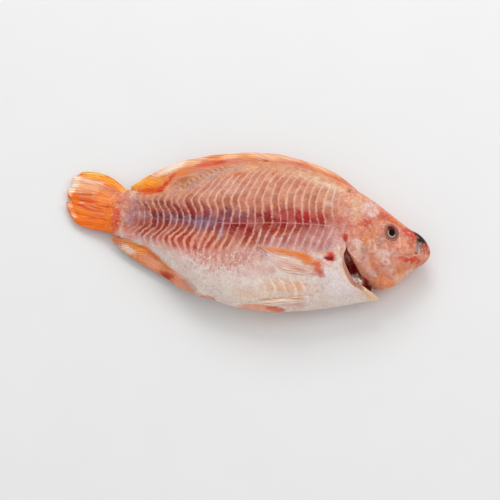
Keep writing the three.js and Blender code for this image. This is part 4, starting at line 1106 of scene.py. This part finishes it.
def skin_material(name, sizes):
    """Raw fish skin with its scales off, wet. Pale seams of connective tissue stand between
    red muscle bands, the flesh is finely mottled, scale pockets are rosy and in relief, and
    pale dots painted into the colour stand for glints of water: painted highlights."""
    made, add, place = new_material(name)
    skin, deep = (add("Attribute", attribute_name=key) for key in ("skin_colour", "band_colour"))
    phase, bands, lift, above, seam_share, mottled, blotched, pockets_and_glints = (
        add("Attribute", attribute_name=key).outputs["Fac"] for key in (
            "band_phase", "band_share", "core_lift", "seam_gap", "seam_share", "mottle_share",
            "blotch_share", "pocket_and_glint_share",
        )
    )
    # flesh mottling of 7 mm, 2.2 mm and 0.9 mm
    wide, small, fine = (
        add("TexNoise", {"Vector": place, "Scale": 1 / (size * MM), "Detail": detail})
        for size, detail in ((7, 2.0), (2.2, 3.0), (0.9, 2.0))
    )
    # fibres that run along the bands: noise a third of a band wide and 7 mm long
    across = add("CombineXYZ", {"X": phase, "Y": above})
    across = add("Mapping", {"Vector": across, "Scale": (3.0, 0.14, 1.0)})
    fibre = add("TexNoise", {"Vector": across, "Scale": 1.0, "Detail": 2.0})
    noises = {"small": small, "wide": wide, "fibre": fibre, "fine": fine}

    # the bands: 1 in the middle of a band and 0 on a pale seam, with a ragged edge
    gap = from_halfway(add, phase)
    inward = add("Math", {0: gap, 1: -2.0, 2: small}, operation="MULTIPLY_ADD")
    for noise, height in ((fibre, 0.6), (fine, 0.4)):
        inward = add("Math", {0: noise, 1: height, 2: inward}, operation="MULTIPLY_ADD")
    lifted = add("Math", {0: inward, 1: lift}, operation="ADD")
    depth = {"Value": small, "From Min": 0.25, "From Max": 0.6, "To Min": 0.72}
    depth = add("MapRange", depth, **EASED)
    depth = add("Math", {0: depth, 1: bands}, operation="MULTIPLY", use_clamp=True)
    # a thin pale line along the middle of the flank, and a cream thread in each seam
    beside = add("Math", {0: above}, operation="ABSOLUTE")
    thread = add("Math", {0: bands, 1: 0.34}, operation="MULTIPLY")
    # scale pockets: rosy 3 mm cells from flank to belly, and pale dots in them, painted highlights
    stretched = add("Mapping", {"Vector": place, "Scale": (1.25, 0.8, 1.0)})
    pockets = add("TexVoronoi", {"Vector": stretched, "Scale": 1 / (3.0 * MM)})
    rosy = add("Math", {0: pockets_and_glints, 1: 0.7}, operation="MULTIPLY")
    glint_cells = add("TexVoronoi", {"Vector": place, "Scale": 1 / (1.9 * MM)})
    glint_share = add("SeparateColor", {"Color": glint_cells.outputs["Color"]})
    glint_share = {"Value": glint_share, "From Min": 0.35, "From Max": 0.8, "To Max": 0.8}
    glint_share = add("MapRange", glint_share, **EASED)
    glint_share = add("Math", {0: pockets_and_glints, 1: glint_share}, operation="MULTIPLY")
    # blotches of 3.4 mm, rosy and pale, that break up every even stretch
    blotch = {"Vector": place, "Scale": 1 / (3.4 * MM), "Detail": 4.0, "Roughness": 0.62}
    blotch = add("TexNoise", blotch)

    # the layers from the bottom up: colour, what it follows, where that is 0 and 1, share
    under = (
        (deep, lifted, 0.06, 0.46, depth),
        (skin, beside, 0.7, 0.15, seam_share),
        ("thread", inward, 0.12, -0.12, thread),
    )
    over = (
        ("blotch", blotch, 0.53, 0.66, blotched),
        ("blotch pale", blotch, 0.46, 0.34, blotched),
        ("pocket", pockets, 0.6, 0.25, rosy),
        # painted highlights: pale dots laid into the colour as glints of water
        ("speck", glint_cells, 0.44, 0.22, glint_share),
    )
    colour = skin
    for layers, mottling in ((under, MOTTLING), (over, {})):
        for top, follows, low, high, share in layers:
            top = (*HUES[top], 1) if isinstance(top, str) else top
            shown = {"Value": follows, "From Min": low, "From Max": high, "To Max": share}
            shown = add("MapRange", shown, **EASED)
            colour = add("Mix", {0: shown, 6: colour, 7: top}, **PLAIN)
        for kind, (low, high, dark, light) in mottling.items():
            tone = add("ValToRGB", {"Fac": noises[kind]}, stops=((low, dark), (high, light)))
            share = bands if kind == "fibre" else mottled
            colour = add("Mix", {0: share, 6: colour, 7: tone}, **TINTED)

    # relief of the grain and of the pockets, and a film of water that is uneven
    grain = add("Math", {0: fine, 1: 0.5, 2: small}, operation="MULTIPLY_ADD")
    cells = add("Math", {0: pockets, 1: pockets_and_glints}, operation="MULTIPLY")
    grain = {"Height": add("Math", {0: cells, 1: 1.7, 2: grain}, operation="MULTIPLY_ADD")}
    add("OutputMaterial", {"Surface": add("BsdfPrincipled", {
        **WET, "Base Color": colour, "Subsurface Weight": 0.07,
        "Coat Weight": sizes.wetness, "Coat Roughness": 0.16,
        "Roughness": add("MapRange", {"Value": small, "To Min": 0.3, "To Max": 0.5}),
        "Normal": add("Bump", {**grain, "Distance": 0.7 * sizes.grain_relief, "Strength": 0.55}),
        "Coat Normal": add("Bump", {"Height": wide, "Distance": 0.5 * MM, "Strength": 0.3}),
    })})
    return made


def fin_material(name, sizes):
    """Fin membrane, wet: thin translucent skin stretched over bony rays, which show as darker
    lines with paler tissue between, and it is streaked along the rays."""
    made, add, place = new_material(name)
    colour, ray_colour = (
        add("Attribute", attribute_name=key) for key in ("fin_colour", "ray_colour")
    )
    phase, reach, share = (
        add("Attribute", attribute_name=key).outputs["Fac"]
        for key in ("ray_phase", "ray_reach", "ray_share")
    )
    gap = from_halfway(add, phase)
    # streaks: noise drawn out along the rays, a third of a ray wide
    across = add("CombineXYZ", {"X": phase, "Y": reach})
    across = add("Mapping", {"Vector": across, "Scale": (3.0, 3.0, 1.0)})
    streak = add("TexNoise", {"Vector": across, "Scale": 1.0, "Detail": 3.0})
    edge = add("Math", {0: streak, 1: 0.22, 2: gap}, operation="MULTIPLY_ADD")
    ray = {"Value": edge, "From Min": 0.4, "From Max": 0.16, "To Max": share}
    ray = add("MapRange", ray, **EASED)
    colour = add("Mix", {0: ray, 6: colour, 7: ray_colour}, **PLAIN)
    ends = ((0.32, (0.84, 0.66, 0.55)), (0.66, (1.18, 1.38, 1.52)))
    tone = add("ValToRGB", {"Fac": streak}, stops=ends)
    speck = add("TexNoise", {"Vector": place, "Scale": 1 / (1.6 * MM), "Detail": 2.0})
    height = add("Math", {0: speck, 1: 0.35, 2: streak}, operation="MULTIPLY_ADD")
    add("OutputMaterial", {"Surface": add("BsdfPrincipled", {
        **WET, "Base Color": add("Mix", {0: 0.85, 6: colour, 7: tone}, **TINTED),
        "Subsurface Weight": 0.08, "Roughness": 0.36,
        "Coat Weight": 1.1 * sizes.wetness, "Coat Roughness": 0.15,
        "Normal": add("Bump", {"Height": height, "Distance": 0.35 * MM, "Strength": 0.5}),
    })})
    return made


def gill_material(name, sizes):
    """Gill flesh, wet and bloody: dark red arches with finer filaments, glossy."""
    made, add, place = new_material(name)
    noise = add("TexNoise", {"Vector": place, "Scale": 1 / (1.8 * MM), "Detail": 3.0})
    ends = ((0.35, (0.6, 0.5, 0.5)), (0.7, (1.25, 1.15, 1.15)))
    tone = add("ValToRGB", {"Fac": noise}, stops=ends)
    flesh = add("Attribute", attribute_name="flesh_colour")
    add("OutputMaterial", {"Surface": add("BsdfPrincipled", {
        **WET, "Base Color": add("Mix", {0: 0.9, 6: flesh, 7: tone}, **TINTED),
        "Subsurface Weight": 0.05, "Roughness": 0.3,
        "Coat Weight": 2.5 * sizes.wetness, "Coat Roughness": 0.1,
        "Normal": add("Bump", {"Height": noise, "Distance": 0.6 * MM, "Strength": 0.6}),
    })})
    return made


def eye_material(name, sizes):
    """A fish's eye: a black pupil in a narrow pale ring, a brown iris with a red stain above
    the pupil, all under a clear wet cornea."""
    made, add, place = new_material(name)
    noise = add("TexNoise", {"Vector": place, "Scale": 1 / (1.1 * MM), "Detail": 2.0})
    ends = ((0.3, (0.75, 0.72, 0.70)), (0.7, (1.2, 1.2, 1.2)))
    tone = add("ValToRGB", {"Fac": noise}, stops=ends)
    iris = add("Attribute", attribute_name="eye_colour")
    add("OutputMaterial", {"Surface": add("BsdfPrincipled", {
        "Base Color": add("Mix", {0: 0.8, 6: iris, 7: tone}, **TINTED), "Roughness": 0.3,
        "IOR": 1.376, "Specular IOR Level": 0.1,
        "Coat Weight": 0.3 * sizes.wetness, "Coat Roughness": 0.05,
    })})
    return made


def floor_material():
    """A plain pale studio floor, matt painted board."""
    made, add, place = new_material("matt_pale_board")
    noise = add("TexNoise", {"Vector": place, "Scale": 1 / (60 * MM), "Detail": 2.0})
    ends = ((0, (0.84, 0.84, 0.84)), (1, (0.87, 0.87, 0.87)))
    tone = add("ValToRGB", {"Fac": noise}, stops=ends)
    board = {"Base Color": tone, "Roughness": 0.8}
    add("OutputMaterial", {"Surface": add("BsdfPrincipled", board)})
    return made


MATERIALS = {
    SKIN_SLOT: ("wet_raw_fish_skin", skin_material),
    FIN_SLOT: ("wet_fin_membrane", fin_material),
    FLESH_SLOT: ("wet_gill_flesh", gill_material),
    EYE_SLOT: ("wet_cornea_over_iris", eye_material),
}


def material_for(slot):
    """The material of a slot, made when it is first asked for."""
    name, make = MATERIALS[slot]
    return bpy.data.materials.get(name) or make(name, bpy.context.scene.fish_sizes)


# ------------------------------------------------------------------ fins, gills and eyes


def fin_fields(x, y, patches, phase, reach, share, darker):
    """What the fin's material reads: its colour, the colour of its rays, a phase that is whole
    between two rays, the share of the way out along them, and how strongly they show."""
    colour = paint(body_tone(x, y), x, y, patches, FIN_SEED)
    values = {"ray_phase": phase, "ray_reach": reach, "ray_share": share}
    fields = {key: np.broadcast_to(value, x.shape) for key, value in values.items()}
    return {"fin_colour": colour, "ray_colour": colour * np.array(darker), **fields}


def tail_points(sizes, rows=96, sides=280, rays=27):
    """The tail fin: a fan between the curve of its root and its notched margin, thinning
    outwards, with broad folds and a fine ridge on each ray: mid + fold · u · cos(2π·7·w)."""
    w, side, u = strip(rows, sides)
    (rx, ry), (mx, my) = along(TAIL_FIN["root"])(w), along(TAIL_FIN["margin"])(w)
    x = mix(rx, mx, u)
    y = mix(ry, my, u) + smooth(TAIL_FIN["bulge"])(w) * 4 * u * (1 - u)
    phase = rays * w + 0.35 * cloud(x, y, 30, 61)
    fold = TAIL_FIN["fold"] * u * np.cos(2 * np.pi * TAIL_FIN["folds"] * w)
    ray = sizes.ray_relief / MM * swell(phase) * step(0.03, 0.3, u)
    notch = 0.7 * bell(from_line(x, y, TAIL_FIN["notch"]), 1.1) * step(0, 0.2, u)
    tall = (smooth(TAIL_FIN["thick"])(u) / 2 + ray - notch) * rounded(w, 4)
    points = strip_points(x, y, mid(x) + fold, side, np.maximum(tall, 0.05))
    return points, fin_fields(x, y, [], phase, 1.3 * u, step(0.02, 0.3, u), TAIL_FIN["darker"])


def outline_fin_points(fin, sizes, rows, sides=56):
    """A fin along the outline, from its base inside the body to its free edge. Its rays lie
    back at a low angle: the phase is (x + rake · distance from the base) / pitch."""
    w, side, u = strip(rows, sides)
    start, end = fin["edge"][0][0], fin["edge"][-1][0]
    towards_back = fin["edge"][1][1] > 0
    x = mix(start, end, u) + 0 * w
    inner, outer = smooth(fin["base"])(x), smooth(fin["edge"])(x)
    y = mix(inner, outer, w if towards_back else 1 - w)
    out = np.abs(y - inner)
    reach = out / np.maximum(np.abs(outer - inner), TINY)
    phase = (x + fin["rake"] * out) / fin["pitch"] + 0.3 * cloud(x, y, 22, fin["seed"])
    wave = 0.35 * cloud(x, 0 * y, 19, fin["seed"] + 1)
    thick = smooth(fin["thick"])(x) / 2 * (1 - FIN_THINNESS * reach)
    tall = thick * rounded(w, 6) + sizes.ray_relief / MM * swell(phase) * rounded(w, 4)
    middle = mid(x) + (smooth(fin["lift"])(x) + wave) * reach
    shown = 0.9 * step(0, 0.3, reach)
    fields = fin_fields(x, y, [], phase, x / 45, shown, OUTLINE_FIN_DARKER)
    return strip_points(x, y, middle, side, tall), fields


def skin_fin_points(fin, flank_side, sizes, rows=110, sides=96):
    """A fin that lies on the flank: a strip between its upper and lower edge, lying on the
    skin's height, with a ridge on each ray. It thins to its free tip, where each ray ends at
    its own length."""
    w, side, u = strip(rows, sides)
    rays, seed = fin["rays"], fin["seed"]
    ragged = 0.35 * np.cos(2 * np.pi * rays * w) + 0.3 * cloud(31 * w, 0 * w, 9, seed)
    (ax, ay), (bx, by) = along(fin["lower"])(1 - u), along(fin["upper"])(1 - u)
    x = mix(ax, bx, w) + fin["fray"] * ((2 * w - 1) ** 2 + ragged) * (1 - u) ** 3
    y = mix(ay, by, w)
    phase = rays * w + 0.2 * cloud(x, y, 20, seed)
    ray = sizes.ray_relief / MM * swell(phase) * step(0, 0.5, u)
    thick = fin["thick"] * (0.04 + 0.96 * step(0.02, 0.6, u)) * (0.15 + 0.85 * step(0.05, 0.6, w))
    middle = skin_height(x, y, belly, sizes) + (thick - SKIN_SINK) / 2
    tall = ((thick + SKIN_SINK) / 2 + ray) * rounded(w, 4)
    points = strip_points(x, y, mid(x) + flank_side * middle, flank_side * side, tall)
    shown = span(0, 0.25, 0.8, 1.0, u)
    fields = fin_fields(x, y, fin["patches"], phase, 1.5 * u, shown, SKIN_FIN_DARKER)
    return points, fields


def gill_points(rows=110, sides=120):
    """The flesh that shows in the slit: it follows the skin a few millimetres down, deepest in
    the middle of the slit, ridged by curved arches and by finer filaments across them. Its
    front, under the jaw, sinks deep and is painted dark: painted shadow in the gap between
    chin and throat."""
    w, side, u = strip(rows, sides)
    x = mix(GILL_CORE["rear"], GILL_CORE["front"], u) + 0 * w
    y = mix(belly(x), back(x), mix(GILL_CORE["foot"], GILL_CORE["head"], w))
    skin = np.minimum(flank(x, y, belly), flank(x, np.maximum(y, chin(x) + 2), chin))
    lumps = sum(rise * bell(in_ellipse(x, y, *place)) for *place, rise in GILL_LUMPS)
    arch = np.cos(2 * np.pi * (x + 0.45 * y) / GILL_ARCH_PITCH)
    filament = np.cos(2 * np.pi * (y - 0.3 * x) / GILL_FILAMENT_PITCH)
    ridges = 0.5 * arch + 0.25 * filament + 0.4 * cloud(x, y, 4, 41)
    # past x 100 the flesh sinks deep and thins to a dark wedge: painted shadow under the jaw
    sunk = 1.0 + 2.0 * step(-24.5, -29, y) + 5 * step(100.5, 104.5, x)
    taper = rounded(w, 8) * rounded(u, 8) * (1 - 0.9 * step(97, 106, x))
    tall = np.maximum(skin - sunk + lumps + ridges, 1) * taper
    colour = lay(HUES["gill dark"], ("dark red", step(-0.2, 1, arch)))
    colour = paint(colour, x, y, GILL_PATCHES, GILL_SEED)
    return strip_points(x, y, mid(x), side, tall), {"flesh_colour": colour}


def eye_points(flank_side, rows=56, sides=96):
    """The eye: half-ellipsoids set square to the cheek, with rows from pole to pole."""
    level = flank(EYE["x"], EYE["y"], chin)
    slope_x = (flank(EYE["x"] + SLOPE_STEP, EYE["y"], chin) - level) / SLOPE_STEP
    slope_y = (flank(EYE["x"], EYE["y"] + SLOPE_STEP, chin) - level) / SLOPE_STEP
    outward = Vector((-flank_side * slope_x, -flank_side * slope_y, 1)).normalized()
    lean = np.array(Vector((0, 0, 1)).rotation_difference(outward).to_matrix())
    down = np.linspace(0, np.pi, rows)[:, None]
    around = 2 * np.pi * np.arange(sides)[None, :] / sides
    ring = np.sin(down)
    ball = (ring * np.cos(around), ring * np.sin(around), np.cos(down) + 0 * around)
    halves = np.array([EYE["length"], EYE["height"], EYE["depth"]]) / 2
    local = np.stack(ball, axis=-1) * halves
    c, s = math.cos(EYE["turn"]), math.sin(EYE["turn"])
    turned = local @ np.array([[c, s, 0], [-s, c, 0], [0, 0, 1]])
    centre = np.array([EYE["x"], EYE["y"], mid(EYE["x"]) + flank_side * level])
    centre = centre + np.array(outward) * flank_side * (EYE["stand"] - EYE["depth"] / 2)
    x, y, height = np.moveaxis(turned @ lean.T + centre, -1, 0)
    return at_rest(x, y, height), {"eye_colour": eye_colours(*local[..., :2].T)}


def eye_colours(x, y):
    """A thin ring round the pupil, pale below it only, and a dark red stain above it."""
    pupil = in_ellipse(x, y, *EYE_PUPIL, 0)
    stain = in_ellipse(x, y, *EYE_STAIN, 0)
    brim = in_ellipse(x, y, 0, 0, EYE["length"] / 2, EYE["height"] / 2, 0)
    return lay(
        HUES["eye ring"],
        ("eye ring pale", step(0.2, -2.8, y + 0.4 * x)),
        ("iris", step(1.14, 1.34, pupil)),
        ("iris pale", step(1.6, 2.1, pupil)),
        ("iris dark", 0.6 * step(3, 5.5, y)),
        ("eye blood", 0.95 * (1 - step(0.75, 1.1, stain))),
        ("eye brim", 0.85 * step(0.74, 0.98, brim)),
        ("pupil", 1 - step(0.9, 1.06, pupil)),
    ).swapaxes(0, 1)


# ------------------------------------------------------------------ settings


class FishSizes(bpy.types.PropertyGroup):
    """Sizes and strengths of the finish that a user may change."""

    band_relief: bpy.props.FloatProperty(
        name="Band relief", description="How far a muscle band swells",
        default=0.38 * MM, min=0, max=MM, unit="LENGTH",
    )
    ray_relief: bpy.props.FloatProperty(
        name="Ray relief", description="How far a fin ray stands out",
        default=0.3 * MM, min=0, max=MM, unit="LENGTH",
    )
    grain_relief: bpy.props.FloatProperty(
        name="Grain relief", description="Depth of the skin's fine grain",
        default=0.5 * MM, min=0, max=MM, unit="LENGTH",
    )
    wetness: bpy.props.FloatProperty(
        name="Wetness", description="Share of the water film on the skin",
        default=0.2, min=0, max=1, subtype="FACTOR",
    )
    mottle: bpy.props.FloatProperty(
        name="Mottling", description="Strength of the flesh's mottling",
        default=0.85, min=0, max=1, subtype="FACTOR",
    )
    seam_strength: bpy.props.FloatProperty(
        name="Seam", description="How pale the line along the middle of the flank is",
        default=0.95, min=0, max=1, subtype="FACTOR",
    )


class FishStage(bpy.types.PropertyGroup):
    """The studio around the fish."""

    floor_colour: bpy.props.FloatVectorProperty(
        name="Backdrop", description="Colour of the light around the fish",
        default=tuple(linear("#F4F4F4")), min=0, max=1, size=3, subtype="COLOR",
    )
    key_power: bpy.props.FloatProperty(
        name="Key light", description="Power of the large soft lamp",
        default=14.0, min=0, unit="POWER",
    )
    fill_strength: bpy.props.FloatProperty(
        name="Fill", description="Strength of the even light from all round", default=0.75, min=0
    )


# ------------------------------------------------------------------ operators


class FISH_OT_trunk(bpy.types.Operator):
    """Builds the skin of the trunk, from the root of the tail to the rim behind the gills"""

    bl_idname = "fish.trunk"
    bl_label = "Trunk"

    def execute(self, context):
        add_piece("trunk_skin", "fish", SKIN_SLOT, *trunk_points(context.scene.fish_sizes))
        return {"FINISHED"}


class FISH_OT_head(bpy.types.Operator):
    """Builds the head with its gill covers, lips, open mouth and eye sockets"""

    bl_idname = "fish.head"
    bl_label = "Head"

    def execute(self, context):
        points, fields = head_points(context.scene.fish_sizes)
        add_piece("head_skin", "fish", SKIN_SLOT, points, fields, ends=("zip", "pole"))
        return {"FINISHED"}


class FISH_OT_gills(bpy.types.Operator):
    """Builds the dark red flesh that shows in the gill slits, and the dark painted shadow under
    the jaw
    """

    bl_idname = "fish.gills"
    bl_label = "Gills"

    def execute(self, context):
        add_piece("gill_flesh_and_jaw_shadow", "fish", FLESH_SLOT, *gill_points())
        return {"FINISHED"}


class FISH_OT_tail(bpy.types.Operator):
    """Builds the folded tail fin"""

    bl_idname = "fish.tail"
    bl_label = "Tail fin"

    def execute(self, context):
        add_piece("tail_fin", "fish", FIN_SLOT, *tail_points(context.scene.fish_sizes))
        return {"FINISHED"}


class FISH_OT_outline_fins(bpy.types.Operator):
    """Builds the fins along the back and behind the belly"""

    bl_idname = "fish.outline_fins"
    bl_label = "Back and anal fins"

    def execute(self, context):
        sizes = context.scene.fish_sizes
        for name, fin, rows in (("dorsal_fin", DORSAL_FIN, 360), ("anal_fin", ANAL_FIN, 190)):
            add_piece(name, "fish", FIN_SLOT, *outline_fin_points(fin, sizes, rows))
        return {"FINISHED"}


class FISH_OT_skin_fins(bpy.types.Operator):
    """Builds the breast and pelvic fins, which lie on both flanks"""

    bl_idname = "fish.skin_fins"
    bl_label = "Breast and pelvic fins"

    def execute(self, context):
        sizes = context.scene.fish_sizes
        for name, fin in (("pectoral_fin", PECTORAL_FIN), ("pelvic_fin", PELVIC_FIN)):
            for side, sign in SIDES.items():
                points, fields = skin_fin_points(fin, sign, sizes)
                add_piece(f"{name}_{side}", "fish", FIN_SLOT, points, fields)
        return {"FINISHED"}


class FISH_OT_eyes(bpy.types.Operator):
    """Builds both eyes"""

    bl_idname = "fish.eyes"
    bl_label = "Eyes"

    def execute(self, context):
        for side, sign in SIDES.items():
            node = f"eye_{side}"
            add_piece(node + "_ball", node, EYE_SLOT, *eye_points(sign), ends=("pole", "pole"))
        return {"FINISHED"}


# the camera stands high on the belly's side, a little towards the snout
CAMERA_AIM = Vector((5.538, -10.918, 0.0)) * MM
CAMERA_PLACE = Vector((107.448, -692.811, 1548.567)) * MM
CAMERA_LENS = 150.0
CAMERA_CLIP = 0.01
FLOOR_SIZE = 6.0
# the soft lamps: place and size in metres, and share of the key light's power
LAMPS = (
    ("key_light", (-0.35, 1.45, 1.25), 1.1, 1.0),
    ("side_light", (1.3, 0.5, 1.2), 0.9, 0.35),
)


def stand(name, data, place, aim):
    """Puts a lamp or a camera at its place, turned to what it aims at."""
    thing = bpy.data.objects.new(name, data)
    thing.location = place
    thing.rotation_euler = (aim - place).to_track_quat("-Z", "Y").to_euler()
    bpy.context.scene.collection.objects.link(thing)
    return thing


class FISH_OT_stage(bpy.types.Operator):
    """Sets the floor, the soft lights and the camera"""

    bl_idname = "fish.stage"
    bl_label = "Stage"

    def execute(self, context):
        scene = context.scene
        stage = scene.fish_stage
        mesh = bpy.data.meshes.new("floor")
        h = FLOOR_SIZE / 2
        mesh.from_pydata([(-h, -h, 0), (h, -h, 0), (h, h, 0), (-h, h, 0)], [], [(0, 1, 2, 3)])
        mesh.materials.append(floor_material())
        floor = bpy.data.objects.new("floor", mesh)
        scene.collection.objects.link(floor)

        scene.world = bpy.data.worlds.new("studio")
        scene.world.use_nodes = True
        around = scene.world.node_tree.nodes["Background"]
        around.inputs["Color"].default_value = (*stage.floor_colour, 1)
        around.inputs["Strength"].default_value = stage.fill_strength
        for name, place, size, share in LAMPS:
            lamp = bpy.data.lights.new(name, "AREA")
            lamp.size = size
            lamp.energy = stage.key_power * share
            stand(name, lamp, Vector(place), Vector())
        camera = bpy.data.cameras.new("camera")
        camera.lens = CAMERA_LENS
        camera.clip_start = CAMERA_CLIP
        scene.camera = stand("camera", camera, CAMERA_PLACE, CAMERA_AIM)
        scene.view_settings.view_transform = "Standard"
        return {"FINISHED"}


class FISH_PT_panel(bpy.types.Panel):
    """Lists the steps and the settings of the fish"""

    bl_idname = "FISH_PT_panel"
    bl_label = "Whole raw fish"
    bl_space_type = "VIEW_3D"
    bl_region_type = "UI"
    bl_category = "Fish"

    def draw(self, context):
        for group in (context.scene.fish_sizes, context.scene.fish_stage):
            for key in group.__annotations__:
                self.layout.prop(group, key)
        for operator in OPERATORS:
            self.layout.operator(operator.bl_idname)


GROUPS = {"fish_sizes": FishSizes, "fish_stage": FishStage}
OPERATORS = (
    FISH_OT_trunk, FISH_OT_head, FISH_OT_gills, FISH_OT_tail, FISH_OT_outline_fins,
    FISH_OT_skin_fins, FISH_OT_eyes, FISH_OT_stage,
)
CLASSES = (*GROUPS.values(), *OPERATORS, FISH_PT_panel)


def register():
    """Makes the groups, the operators and the panel known to Blender."""
    for item in CLASSES:
        bpy.utils.register_class(item)
    for name, group in GROUPS.items():
        setattr(bpy.types.Scene, name, bpy.props.PointerProperty(type=group))


def unregister():
    """Takes them away again, in the opposite order."""
    for name in reversed(GROUPS):
        delattr(bpy.types.Scene, name)
    for item in reversed(CLASSES):
        bpy.utils.unregister_class(item)


def main():
    """Builds the whole fish and its stage."""
    register()
    for operator in OPERATORS:
        area, name = operator.bl_idname.split(".")
        getattr(getattr(bpy.ops, area), name)()


if __name__ == "__main__":
    main()
